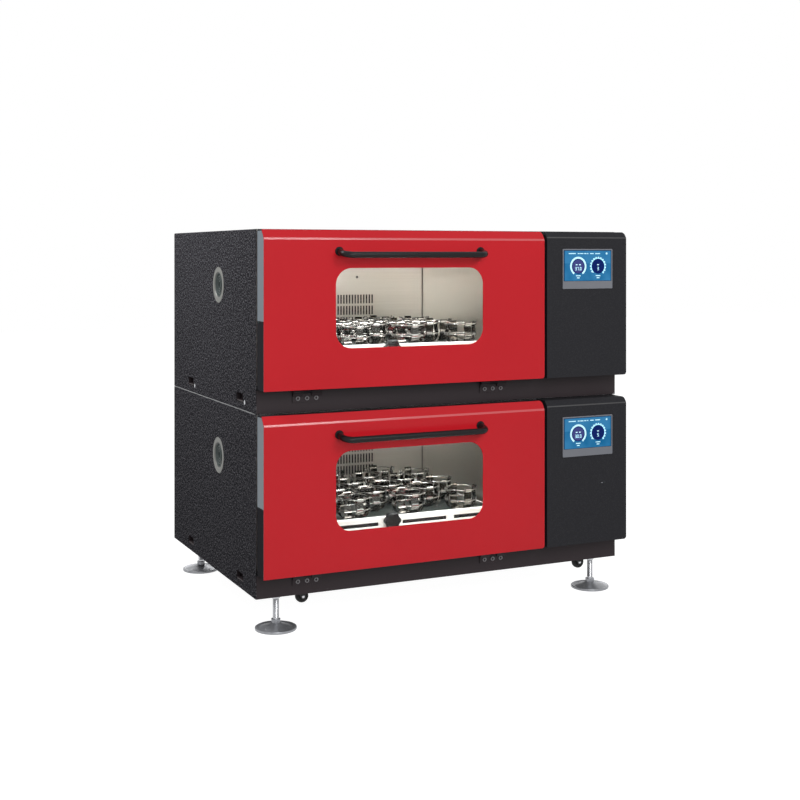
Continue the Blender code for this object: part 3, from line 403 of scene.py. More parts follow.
def roundedRectangle(left, right, bottom, top, radius, steps=8, squareLeft=False):
    points = arc((right - radius, bottom + radius), radius, -quarter, 0, steps)
    points += arc((right - radius, top - radius), radius, 0, quarter, steps)
    if squareLeft:
        return points + [(left, top), (left, bottom)]
    points += arc((left + radius, top - radius), radius, quarter, 2 * quarter, steps)
    return points + arc((left + radius, bottom + radius), radius, 2 * quarter, 3 * quarter, steps)


def meshOf(bm, name, offset=(0, 0, 0)):
    bmesh.ops.translate(bm, verts=bm.verts, vec=Vector(offset))
    bmesh.ops.recalc_face_normals(bm, faces=bm.faces)
    mesh = bpy.data.meshes.new(name)
    bm.to_mesh(mesh)
    bm.free()
    return mesh


def baked(thing, name):  # the evaluated shape as a plain mesh
    depsgraph = bpy.context.evaluated_depsgraph_get()
    mesh = bpy.data.meshes.new_from_object(thing.evaluated_get(depsgraph), depsgraph=depsgraph)
    mesh.name = name
    return mesh


def settle(thing):  # apply the modifiers and drop them
    mesh = baked(thing, thing.name)
    thing.modifiers.clear()
    thing.data = mesh


def drop(*things):
    for thing in things:
        bpy.data.objects.remove(thing, do_unlink=True)


def addBevel(thing, width, segments=2, angle=40):
    modifier = thing.modifiers.new("edge", "BEVEL")
    modifier.width = width
    modifier.segments = segments
    modifier.limit_method = "ANGLE"
    modifier.angle_limit = math.radians(angle)
    settle(thing)


def carved(name, bm, tier, cuts=(), bevel=()):  # a shape with others cut from it, and its edges softened
    thing = newObject(name, meshOf(bm, name, tierOrigin[tier]))
    tools = []
    for operation, cut in cuts:
        tools.append(newObject("tool", meshOf(cut, "tool", tierOrigin[tier])))
        modifier = thing.modifiers.new("shape", "BOOLEAN")
        modifier.operation = operation
        modifier.object = tools[-1]
    if tools:
        settle(thing)
        drop(*tools)
    if bevel:
        addBevel(thing, *bevel)
    return thing


def dress(thing, body, surface, replaced=(), smooth=35, highlightFinish=None):
    thing.data.materials.clear()
    thing.data.materials.append(finishes[surface])
    thing.data.shade_smooth()
    thing.data.set_sharp_from_angle(angle=math.radians(smooth))
    flatten = thing.modifiers.new("flatFaces", "WEIGHTED_NORMAL")  # keeps wide faces flat beside small bevels
    flatten.keep_sharp = True
    settle(thing)
    if highlightFinish:  # a second finish on the faces that the test picks, used for painted highlights
        thing.data.materials.append(finishes[highlightFinish[0]])
        for face in thing.data.polygons:
            face.material_index = 1 if highlightFinish[1](face) else 0
    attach(thing, body)
    if replaced:
        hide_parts(*replaced)


def simplePiece(name, bm, tier, body, surface, replaced=(), bevel=(), smooth=35):
    dress(carved(name, bm, tier, (), bevel), body, surface, replaced, smooth)


# Geometry Nodes: a field of copies on a rectangle, and a ring of copies round an axis

def copiesOn(tree, start, points, turn):  # an instance of the unit on every point
    unit = addNode(tree, "GeometryNodeObjectInfo", Object=start["Unit"])
    return addNode(tree, "GeometryNodeInstanceOnPoints", Points=points, Instance=unit.outputs["Geometry"],
                   Rotation=turn).outputs[0]


def paintCopies(tree, start, end, copies):
    real = addNode(tree, "GeometryNodeRealizeInstances", copies)
    paint = addNode(tree, "GeometryNodeSetMaterial", real.outputs[0], Material=start["Finish"])
    tree.links.new(paint.outputs[0], end[0])
    return tree


def newCopies(name, inputs):
    tree, start, end = newTree(name, "GeometryNodeTree", [("Unit", "Object"), ("Finish", "Material"), *inputs],
                               [("Geometry", "Geometry")])

    def calc(operation, *values):
        return addNode(tree, "ShaderNodeMath", *values, operation=operation).outputs[0]

    return tree, start, end, addNode(tree, "GeometryNodeInputIndex").outputs[0], calc


def makeFieldTree():  # rows of copies; Stagger shifts every second row and drops its last copy
    tree, start, end, index, calc = newCopies("copyField", [
        ("Columns", "Int", 4), ("Rows", "Int", 3), ("Column Pitch", "Float", 0.1), ("Row Pitch", "Float", 0.1),
        ("Stagger", "Float", 0.0), ("Corner", "Vector"), ("Row Up", "Float", 0.0), ("Turn", "Vector")])
    columns, rowUp = start["Columns"], start["Row Up"]
    line = addNode(tree, "GeometryNodePoints", Count=calc("MULTIPLY", columns, start["Rows"]))
    row = calc("FLOOR", calc("DIVIDE", calc("ADD", index, 0.5), columns))
    column = calc("SUBTRACT", index, calc("MULTIPLY", row, columns))
    odd = calc("MODULO", row, 2.0)
    shift = calc("MULTIPLY", odd, start["Stagger"])
    along = calc("MULTIPLY", row, start["Row Pitch"])
    place = addNode(tree, "ShaderNodeCombineXYZ", calc("MULTIPLY", calc("ADD", column, shift), start["Column Pitch"]),
                    calc("MULTIPLY", along, calc("SUBTRACT", 1.0, rowUp)), calc("MULTIPLY", along, rowUp))
    total = addNode(tree, "ShaderNodeVectorMath", place.outputs[0], start["Corner"], operation="ADD")
    placed = addNode(tree, "GeometryNodeSetPosition", Geometry=line.outputs[0], Position=total.outputs[0])
    last = calc("GREATER_THAN", column, calc("SUBTRACT", columns, 1.5))
    staggered = calc("GREATER_THAN", start["Stagger"], 0.001)
    surplus = calc("MULTIPLY", calc("MULTIPLY", last, staggered), odd)
    kept = addNode(tree, "GeometryNodeDeleteGeometry", Geometry=placed.outputs[0],
                   Selection=calc("GREATER_THAN", surplus, 0.5))
    return paintCopies(tree, start, end, copiesOn(tree, start, kept.outputs[0], start["Turn"]))


def makeRingTree():  # copies round an axis, each turned with its place, then tilted and moved together
    tree, start, end, index, calc = newCopies("copyRing", [
        ("Count", "Int", 8), ("Radius", "Float", 0.01), ("Centre", "Vector"), ("Tilt", "Vector"),
        ("First", "Float", 0.0), ("Sweep", "Float", math.tau)])
    line = addNode(tree, "GeometryNodePoints", Count=start["Count"])
    step = calc("DIVIDE", start["Sweep"], start["Count"])
    turn = calc("ADD", calc("MULTIPLY", index, step), start["First"])
    place = addNode(tree, "ShaderNodeCombineXYZ", calc("MULTIPLY", calc("COSINE", turn), start["Radius"]),
                    calc("MULTIPLY", calc("SINE", turn), start["Radius"]))
    placed = addNode(tree, "GeometryNodeSetPosition", Geometry=line.outputs[0], Position=place.outputs[0])
    spin = addNode(tree, "ShaderNodeCombineXYZ", Z=turn)
    copies = copiesOn(tree, start, placed.outputs[0], spin.outputs[0])
    moved = addNode(tree, "GeometryNodeTransform", Geometry=copies, Rotation=start["Tilt"],
                    Translation=start["Centre"])
    return paintCopies(tree, start, end, moved.outputs[0])


copyField = makeFieldTree()
copyRing = makeRingTree()


def copiesPiece(name, tree, values, body, surface, replaced=()):  # evaluates a tree on an empty mesh
    holder = newObject(name, bpy.data.meshes.new(name + "Seed"))
    modifier = holder.modifiers.new("copies", "NODES")
    modifier.node_group = tree
    values = {**values, "Finish": finishes[surface]}
    for item in tree.interface.items_tree:
        if item.item_type == "SOCKET" and item.in_out == "INPUT" and item.name in values:
            modifier[item.identifier] = values[item.name]
    mesh = baked(holder, name)
    drop(holder)
    dress(newObject(name, mesh), body, surface, replaced)


def fieldPiece(name, unit, count, pitch, corner, body, surface, slotName, replaced=(), **more):
    values = {"Unit": unit, "Columns": count[0], "Rows": count[1], "Column Pitch": float(pitch[0]),
              "Row Pitch": float(pitch[1]),
              "Corner": corner, **{label.replace("_", " "): value for label, value in more.items()}}
    copiesPiece(name, copyField, values, body, surface, replaced)


def unitObject(name, bm):  # an original for the copies, dropped again when they are made
    thing = newObject(name, meshOf(bm, name))
    thing.data.shade_smooth()
    thing.data.set_sharp_from_angle(angle=math.radians(35))
    return thing


def panScrew(radius, height):  # a domed head with a dimple, on the side of minus y
    bm = bmesh.new()
    profile = [(0, -height * 0.35), (radius * 0.30, -height * 0.55), (radius * 0.62, -height * 0.95),
               (radius * 0.86, -height * 0.72), (radius, -height * 0.30), (radius, 0.0006), (0, 0.0006)]
    addTurned(bm, profile, (0, 0, 0), "Y", 16)
    return unitObject("screwUnit", bm)


print("helpers and node trees ready")


# Door: red face on a black moulded body, a pane, an inner panel with its seal, and a bent handle

door = {"bottom": 0.068, "top": 0.518, "depth": 0.062, "cornerRadius": 0.009, "chamfer": (0.025, 0.018),
        "facet": 0.0030, "reflectionStrip": (0.262, 0.514, 0.0007), "skin": 0.0022, "edge": 0.0012, "bodyBack": -0.0057,
        "windowRadius": 0.048, "flare": 0.036, "panelInset": 0.042, "panelBack": -0.0030, "panelRadius": 0.016,
        "screwRadius": 0.0035, "screwInset": 0.018}
doorMid = (doorLow.x + doorHigh.x) / 2
window = {"left": doorMid - 0.2375, "right": doorMid + 0.2375, "bottom": 0.181, "top": 0.409}


def doorProfile(back, front, chamfer=door["chamfer"], facet=door["facet"]):  # the crease is a narrow facet
    low, top = door["bottom"], door["top"]
    height, depth = chamfer
    slope = Vector((depth, height)).normalized() * facet
    return [(back, low), (front, low), (front, top - height - facet), (front + slope.x, top - height + slope.y),
            (front + depth, top), (back, top)]


def onCrease(tier, chamfer):  # picks the facet along the top crease of a front, which gets a paler finish as a painted highlight
    level = tierOrigin[tier].z + door["top"] - chamfer[0] - 0.006
    return lambda face: face.center.z > level and 0.06 < face.normal.z < 0.50 and face.normal.y < -0.85


def frontOutline(left, right):  # cuts a front to its outline, rounded on the right
    outline = roundedRectangle(left, right, door["bottom"], door["top"], door["cornerRadius"], 8, True)
    return "INTERSECT", prismMesh(outline, "Y", -door["depth"] - 0.01, 0.01)


def windowCut(grow=0.0, low=-door["depth"] - 0.01, high=0.01):
    outline = roundedRectangle(window["left"] - grow, window["right"] + grow, window["bottom"] - grow,
                               window["top"] + grow, door["windowRadius"] + grow, 14)
    return "DIFFERENCE", prismMesh(outline, "Y", low, high)


def makeDoor(tier):
    body = tier + "_door"
    front = -door["depth"]
    skinBack = front + door["skin"]
    inner = [(p + door["skin"], z) for p, z in doorProfile(front + 0.060, front)]
    skin = carved(tier + "DoorFace", prismMesh(doorProfile(front + 0.030, front), "X", doorLow.x, doorHigh.x), tier,
                  [frontOutline(doorLow.x, doorHigh.x),
                   ("DIFFERENCE", prismMesh(inner, "X", doorLow.x - 0.01, doorHigh.x + 0.01)), windowCut()],
                  (door["edge"], 3, 15))
    # the crease facet gets the paler red, a painted highlight
    dress(skin, body, "doorRed", [tier + "_door_skin"], 50,
          ("redCrease", onCrease(tier, door["chamfer"])))

    # grey-blue strip on the door's left side between these heights: a painted reflection, with black below it
    low, high, thick = door["reflectionStrip"]
    block = prismMesh(doorProfile(door["bodyBack"], skinBack + 0.0001), "X", doorLow.x + thick + 0.0001, doorHigh.x)
    made = carved(tier + "DoorBody", block, tier, [frontOutline(doorLow.x, doorHigh.x), windowCut(door["flare"])],
                  (0.0010, 2, 40))
    dress(made, body, "doorBlack", [tier + "_door_frame"])
    outline = [(y, min(max(z, low), high)) for y, z in doorProfile(door["bodyBack"] - 0.001, skinBack + 0.0004)]
    reflectionStrip = prismMesh(outline, "X", doorLow.x + 0.0001, doorLow.x + thick)
    simplePiece(tier + "DoorEdgeStrip", reflectionStrip, tier, body, "doorEdgeGrey", bevel=(0.0002,))
    lower = bmesh.new()
    addBox(lower, (doorLow.x + 0.0001, skinBack + 0.0004, door["bottom"] + 0.001),
           (doorLow.x + thick, door["bodyBack"] - 0.001, low - 0.0003))
    simplePiece(tier + "DoorEdge", lower, tier, body, "doorBlack", bevel=(0.0002,))

    left, right = doorLow.x + door["panelInset"], doorHigh.x - door["panelInset"]
    low, high = door["bottom"] + door["panelInset"], door["top"] - door["panelInset"]
    sheet = prismMesh(roundedRectangle(left, right, low, high, door["panelRadius"]), "Y", door["bodyBack"],
                      door["panelBack"])
    panel = carved(tier + "DoorPanel", sheet, tier, [windowCut(door["flare"] + 0.002, -0.02, 0.02)], (0.0009, 3, 40))
    dress(panel, body, "stainless")
    unit = panScrew(door["screwRadius"], 0.0018)
    unit.data.transform(Matrix.Rotation(math.pi, 4, "X"))
    inset = door["screwInset"]
    for row, height in (("Low", low + inset), ("High", high - inset)):
        corner = Vector((left + inset, door["panelBack"], height)) + tierOrigin[tier]
        fieldPiece(tier + "DoorPanelScrews" + row, unit, (5, 1), ((right - left - 2 * inset) / 4, 0), corner, body,
                   "zinc", "zinc")
    drop(unit)


seal = {"width": 0.014, "foot": 0.0018, "bulb": (0.0052, 0.0032), "corner": 0.018, "innerCorner": 0.003}


def makeSeal(tier):  # bulb seal round the chamber opening, on the door
    back, front = gasketLow.y, gasketHigh.y
    width, foot = seal["width"], back + seal["foot"]
    across, out = seal["bulb"]
    bulb = [(0, back), (width, back), (width, foot)]
    bulb += [(width / 2 + across * math.cos(a), front - out + out * math.sin(a))
             for a in (math.pi * k / 8 for k in range(9))]
    bulb += [(0, foot)]
    bm = bmesh.new()
    rings = []
    for inset, depth in bulb:
        ring = roundedRectangle(gasketLow.x + inset, gasketHigh.x - inset, gasketLow.z + inset, gasketHigh.z - inset,
                                max(seal["corner"] - inset, seal["innerCorner"]), 6)
        rings.append([bm.verts.new((x, depth, z)) for x, z in ring])
    bridge(bm, rings, True)
    simplePiece(tier + "DoorSeal", bm, tier, tier + "_door", "rubberBlack", [tier + "_door_gasket"])


handle = {"span": 0.456, "mountHeight": 0.457, "drop": 0.010, "reach": 0.0485, "radius": 0.0092, "bend": 0.026,
          "neck": 0.006, "collarRadius": 0.0130, "collarLength": 0.004, "steps": 14, "sides": 28}


def handlePath():  # centre line, from one mount to the other
    reach, bend, neck = handle["reach"], handle["bend"], handle["neck"]
    left, right = doorMid - handle["span"] / 2, doorMid + handle["span"] / 2
    flat = [(left, 0), (left, neck)] + arc((left + bend, reach - bend), bend, math.pi, quarter, handle["steps"])
    flat += [(left + bend + (right - left - 2 * bend) * k / 6, reach) for k in range(1, 6)]
    flat += arc((right - bend, reach - bend), bend, quarter, 0, handle["steps"]) + [(right, neck), (right, 0)]
    return [Vector((x, -door["depth"] - 0.0003 - out, handle["mountHeight"] - handle["drop"] * out / reach))
            for x, out in flat]


def sweep(bm, points, radius, sides, closed=False):  # a round rod along a path
    rings = []
    for i, here in enumerate(points):
        ahead = points[(i + 1) % len(points)] - points[i - 1]
        if not closed:
            ahead = points[min(i + 1, len(points) - 1)] - points[max(i - 1, 0)]
        ahead.normalize()
        side = ahead.cross(Vector((0, 0, 1))).normalized()
        top = side.cross(ahead).normalized()
        turns = [math.tau * k / sides for k in range(sides)]
        rings.append([bm.verts.new(here + (side * math.cos(a) + top * math.sin(a)) * radius) for a in turns])
    bridge(bm, rings, closed)


def makeHandle(tier):
    bm = bmesh.new()
    points = handlePath()
    sweep(bm, points, handle["radius"], handle["sides"])
    long, wide = handle["collarLength"], handle["collarRadius"]
    for end in (points[0], points[-1]):
        profile = [(0, 0), (wide, 0), (wide, -long * 0.6), (wide - 0.0012, -long), (handle["radius"], -long),
                   (0, -long)]
        addTurned(bm, profile, end, "Y", handle["sides"])
    simplePiece(tier + "DoorHandle", bm, tier, tier + "_door", "handleBlack", [tier + "_door_handle"])


for tier in tierNames:
    makeDoor(tier)
    makeSeal(tier)
    makeHandle(tier)
    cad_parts[tier + "_window_glass"].data.materials.clear()
    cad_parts[tier + "_window_glass"].data.materials.append(clearPane)
print("doors ready")


# Control fascia and its touchscreen

fascia = {"wall": 0.003, "chamfer": (0.018, 0.013), "facet": 0.002, "edge": 0.0018, "hole": (0.176, 0.116)}
screen = {"bezel": 0.0038, "corner": 0.003, "barHeight": 0.0200, "rim": 0.0036, "ringRadius": 0.0298,
          "gaugeLift": 0.0078, "teeth": 15, "pane": 0.0007, "thin": 0.0002,
          "gauges": (("left", -0.0352, (-1, 1)), ("right", 0.0380, (0,))),
          "marks": ((0.026, 0.007), (0.007, 0.002), (0.012, 0.003), (0.008, 0.003), (0.004, 0.007), (0.013, 0.006),
                    (0.018, 0.0))}
readings = {"upper": ("37.0", "3"), "lower": ("30.0", "5")}
screenMid = (screenLow + screenHigh) / 2


def makeFascia(tier):
    front, wall = -door["depth"], fascia["wall"]
    wide, tall = fascia["hole"]
    hollow, hole = bmesh.new(), bmesh.new()
    addBox(hollow, (fasciaLow.x + wall, front + wall, door["bottom"] + wall),
           (fasciaHigh.x - wall, 0.01, door["top"] - fascia["chamfer"][0] - wall))
    addBox(hole, (screenMid.x - wide / 2, front - 0.01, screenMid.z - tall / 2),
           (screenMid.x + wide / 2, front + 0.01, screenMid.z + tall / 2))
    profile = doorProfile(fasciaHigh.y, front, fascia["chamfer"], fascia["facet"])
    made = carved(tier + "Fascia", prismMesh(profile, "X", fasciaLow.x, fasciaHigh.x), tier,
                  [frontOutline(fasciaLow.x, fasciaHigh.x), ("DIFFERENCE", hollow), ("DIFFERENCE", hole)],
                  (fascia["edge"], 3, 15))
    # the crease facet and the rounded left edge get the paler black, a painted highlight
    crease = onCrease(tier, fascia["chamfer"])
    limit = tierOrigin[tier].x + fasciaLow.x + 0.004
    dress(made, "cabinet", "fasciaBlack", [tier + "_control_fascia"], 50,
          ("fasciaCrease", lambda face: crease(face) or (face.center.x < limit and face.normal.x < -0.3
                                                         and face.normal.y < -0.3)))


def ringSector(bm, centre, inner, outer, start, end, depth, steps=40):  # flat arc of a gauge
    rows = []
    back = depth - screen["thin"]
    for k in range(steps + 1):
        angle = start + (end - start) * k / steps
        ray = Vector((math.cos(angle), 0, math.sin(angle)))
        rows.append([bm.verts.new(centre + ray * radius + Vector((0, y, 0)))
                     for radius, y in ((inner, depth), (outer, depth), (outer, back), (inner, back))])
    bridge(bm, rows)


digitStrokes = {"0": "abcdef", "3": "abgcd", "5": "afgcd", "7": "abc"}


def addDigit(bm, glyph, left, bottom, height, depth):  # plain number built from strokes
    wide, line, half, thin = height * 0.56, height * 0.15, height / 2, screen["thin"]
    places = {"a": (0, height - line, wide, height), "b": (wide - line, half, wide, height),
              "c": (wide - line, 0, wide, half), "d": (0, 0, wide, line), "e": (0, 0, line, half),
              "f": (0, half, line, height), "g": (0, half - line / 2, wide, half + line / 2)}
    if glyph == ".":
        addBox(bm, (left, depth - thin, bottom), (left + line, depth, bottom + line))
        return line * 2
    for stroke in digitStrokes[glyph]:
        x0, z0, x1, z1 = places[stroke]
        addBox(bm, (left + x0, depth - thin, bottom + z0), (left + x1, depth, bottom + z1))
    return wide + line


def addNumber(bm, text, centre, height, depth):
    wide = sum(height * 0.30 if glyph == "." else height * 0.71 for glyph in text) - height * 0.15
    left = centre[0] - wide / 2
    for glyph in text:
        left += addDigit(bm, glyph, left, centre[1] - height / 2, height, depth)


def makeScreen(tier):
    face, bezel = screenLow.y, screen["bezel"]
    outer = roundedRectangle(screenLow.x, screenHigh.x, screenLow.z, screenHigh.z, screen["corner"], 6)
    left, right = screenLow.x + bezel, screenHigh.x - bezel
    low, high = screenLow.z + bezel + screen["barHeight"], screenHigh.z - bezel
    hole = prismMesh(roundedRectangle(left, right, low, high, 0.001, 4), "Y", face - 0.01, face + 0.0016)
    made = carved(tier + "ScreenBezel", prismMesh(outer, "Y", face, -door["depth"] - 0.0002), tier,
                  [("DIFFERENCE", hole)], (0.0008, 3, 40))
    dress(made, "cabinet", "bezelGrey", [tier + "_touchscreen"], 50)

    pane, edge, thin = face + screen["pane"], screen["rim"], screen["thin"]
    rim = prismMesh(roundedRectangle(left + 0.0002, right - 0.0002, low + 0.0002, high - 0.0002, 0.001, 3), "Y",
                    pane + 0.0002, face + 0.0015)
    simplePiece(tier + "ScreenRim", rim, tier, "cabinet", "screenRim", bevel=(0.0002,))
    field = roundedRectangle(left + edge, right - edge * 0.7, low + edge * 0.4, high - edge * 0.6, 0.002, 4)
    simplePiece(tier + "ScreenField", prismMesh(field, "Y", pane, pane + 0.0003), tier, "cabinet", "screenBlue")

    white, violet, navy = bmesh.new(), bmesh.new(), bmesh.new()
    ring, fullTurn = screen["ringRadius"], math.tau * 0.999
    for (side, shift, dashes), value, disc in zip(screen["gauges"], readings[tier], (violet, navy)):
        centre = Vector((screenMid.x + shift, 0, screenMid.z + screen["gaugeLift"]))
        if side == "left":  # one open ring
            ringSector(white, centre, ring * 0.80, ring, math.radians(-56), math.radians(236), pane)
        else:  # a ring of short teeth on a thin line
            ringSector(white, centre, ring * 0.82, ring * 0.90, math.radians(-50), math.radians(230), pane)
            for k in range(screen["teeth"]):
                start = math.radians(-50 + k * 280 / screen["teeth"])
                ringSector(white, centre, ring * 0.80, ring, start, start + math.radians(10.5), pane, 4)
        ringSector(navy, centre, ring * 0.70, ring * 0.78, 0, fullTurn, pane, 48)
        ringSector(disc, centre, 0.0004, ring * 0.70, 0, fullTurn, pane, 48)
        addNumber(white, value, (centre.x, centre.z - ring * 0.24), ring * 0.34, pane - thin)
        for k in dashes:
            addBox(white, (centre.x + k * 0.0060 - 0.0034, pane - 2 * thin, centre.z + ring * 0.12),
                   (centre.x + k * 0.0060 + 0.0034, pane - thin, centre.z + ring * 0.22))
        for wide, lower in ((0.0085, 0.98), (0.0050, 1.20)):  # small marks under the gauge
            addBox(white, (centre.x - wide, pane - thin, centre.z - ring * lower - 0.0014),
                   (centre.x + wide, pane, centre.z - ring * lower + 0.0014))
    start = left + 0.018
    for wide, space in screen["marks"]:  # a row of small marks along the top
        addBox(white, (start, pane - thin, high - 0.0120), (start + wide, pane, high - 0.0094))
        start += wide + space
    ringSector(white, Vector((right - 0.018, 0, high - 0.0105)), 0.0003, 0.0032, 0, fullTurn, pane, 20)
    for name, bm, surface in (("Marks", white, "screenWhite"), ("DialLeft", violet, "dialViolet"),
                              ("DialRight", navy, "dialNavy")):
        simplePiece(tier + "Screen" + name, bm, tier, "cabinet", surface)


for tier in tierNames:
    makeFascia(tier)
    makeScreen(tier)
print("fascias and screens ready")


# Outer shell of each tier with its folded edges, side recesses and the seam between the tiers, painted pale as a
# highlight

shell = {"sheet": 0.0015, "fold": 0.003, "seamHeight": 0.0019, "seamInset": 0.0005, "seamFront": 0.012,
         "ventRadius": 0.0553, "boltRadius": 0.0068, "boltHeight": 0.0013, "boltShift": -0.0115, "boltLevel": 0.0225,
         "boltHole": 0.0076, "recessMids": (0.145, 0.655)}
recess = {"length": 0.062, "height": 0.026, "level": 0.020, "depth": 0.014, "back": 0.0012, "wall": 0.003}
ventMid = Vector((0, (ventLow.y + ventHigh.y) / 2, (ventLow.z + ventHigh.z) / 2))
recessPlaces = [(side, mid) for side in (0, 1) for mid in shell["recessMids"]]


def foldedOutline(width, top, sheet, fold):
    outer = [(0, 0), (0, top - fold)] + arc((fold, top - fold), fold, math.pi, quarter, 6)[1:]
    outer += arc((width - fold, top - fold), fold, quarter, 0, 6) + [(width, 0)]
    inner = [(width - sheet, 0), (width - sheet, top - fold)]
    inner += [(width - fold, top - sheet), (fold, top - sheet), (sheet, top - fold), (sheet, 0)]
    return outer + inner


def boltCentre(x, mid):
    return Vector((x, mid - recess["length"] / 2 + shell["boltShift"], shell["boltLevel"]))


def makeShell(tier):
    width, depth = shellHigh.x, shellHigh.y
    top = shellHigh.z - (shell["seamHeight"] if tier == "lower" else 0)
    cuts = bmesh.new()
    for side, mid in recessPlaces:
        x, half = width * side, recess["length"] / 2
        addBox(cuts, (x - 0.01, mid - half, recess["level"]),
               (x + 0.01, mid + half, recess["level"] + recess["height"]))
        if tier == "upper":
            addDrum(cuts, shell["boltHole"], -0.01, 0.01, boltCentre(x, mid), "X", 24)
    addDrum(cuts, shell["ventRadius"], -0.01, 0.01, ventMid, "X", 64)
    sheet = prismMesh(foldedOutline(width, top, shell["sheet"], shell["fold"]), "Y", 0, depth)
    made = carved(tier + "Shell", sheet, tier, [("DIFFERENCE", cuts)], (0.0004, 2, 60))
    dress(made, "cabinet", "powderCoat", [tier + "_cabinet_shell"])
    if tier == "lower":
        inset = shell["seamInset"]
        bm = bmesh.new()
        addBox(bm, (inset, shell["seamFront"], top - 0.0005), (width - inset, depth - inset, shellHigh.z))
        # pale strip at the joint of the tiers: a painted highlight
        simplePiece("tierSeam", bm, tier, "cabinet", "seamPale", bevel=(0.0005,))


def makeRecesses(tier):  # pressed boxes for the carrying bars, with the flush bolts between the tiers
    wall, half = recess["wall"], recess["length"] / 2
    boxes, bolts = bmesh.new(), bmesh.new()
    for side, mid in recessPlaces:
        inward = 1 if side == 0 else -1
        face = shell["sheet"] if side == 0 else shellHigh.x - shell["sheet"]
        back = face + inward * recess["depth"]
        front, rear = mid - half - wall, mid + half + wall
        low, high = recess["level"] - wall, recess["level"] + recess["height"] + wall
        xs = sorted((face + inward * 0.0003, back))
        for y0, z0, y1, z1 in ((front, low, rear, low + wall), (front, high - wall, rear, high),
                               (front, low + wall, front + wall, high - wall),
                               (rear - wall, low + wall, rear, high - wall)):
            addBox(boxes, (xs[0], y0, z0), (xs[1], y1, z1))
        ends = sorted((back, back + inward * recess["back"]))
        addBox(boxes, (ends[0], front, low), (ends[1], rear, high))
        tall, wide = shell["boltHeight"] * -inward, shell["boltRadius"]
        profile = [(0, 0), (wide, 0), (wide, tall * 0.45), (wide * 0.8, tall * 0.85), (wide * 0.4, tall), (0, tall)]
        addTurned(bolts, profile, boltCentre(face, mid), "X", 18)
    simplePiece(tier + "Recesses", boxes, tier, "cabinet", "baseBlack")
    if tier == "upper":  # tie the upper cabinet down to the lower one
        simplePiece("tierBolts", bolts, tier, "cabinet", "zinc")
    else:
        bolts.free()


vent = {"flange": 0.0170, "cup": 0.0085, "depth": 0.0095, "ribs": 14, "rings": (0.26, 0.46, 0.66)}


def makeVent(tier):
    outer = shell["ventRadius"] - 0.0005
    inner = outer - vent["flange"]
    deep, back = vent["cup"], vent["depth"]
    flange, cup = bmesh.new(), bmesh.new()
    addTurned(flange, [(outer, back), (outer, 0.0009), (outer - 0.0009, 0.0), (inner + 0.0024, 0.0), (inner, 0.0026),
                       (inner, back)], ventMid, "X", 96)
    simplePiece(tier + "VentFlange", flange, tier, "cabinet", "ventGrey", [tier + "_side_vent"])
    addTurned(cup, [(0, deep - 0.0012), (inner - 0.0044, deep - 0.0012), (inner - 0.0030, 0.0030),
                    (inner - 0.0003, 0.0030), (inner - 0.0003, deep), (0, deep)], ventMid, "X", 64)
    for share in vent["rings"]:  # raised rings in the cup
        radius = inner * share
        addTurned(cup, [(radius, deep - 0.001), (radius, 0.0042), (radius + 0.0016, 0.0036),
                        (radius + 0.0032, 0.0042), (radius + 0.0032, deep - 0.001)], ventMid, "X", 48)
    simplePiece(tier + "VentCup", cup, tier, "cabinet", "ventDark")
    rib = roundedRectangle(-0.0015, 0.0015, inner * 0.20, inner * 0.78, 0.0014, 3)
    unit = unitObject("ventRib", prismMesh(rib, "X", 0.0030, deep - 0.0008))
    copiesPiece(tier + "VentRibs", copyRing,
                {"Unit": unit, "Count": vent["ribs"], "Radius": 0.0, "Tilt": Vector((0, quarter, 0)),
                 "Centre": ventMid + tierOrigin[tier]}, "cabinet", "ventDark")
    drop(unit)


# Hinges: black leaf with three screws, knuckles and the pin

hinge = {"mids": (doorLow.x + 0.150, doorHigh.x - 0.150), "width": 0.088, "low": 0.027, "high": 0.050, "leaf": 0.003,
         "gap": 0.0003, "axis": (-0.010, 0.059), "knuckle": 0.005, "lug": 0.0133, "doorLug": 0.0130, "pin": 0.0025,
         "screwRadius": 0.0066, "screwHole": 0.0034, "screwPitch": 0.028}


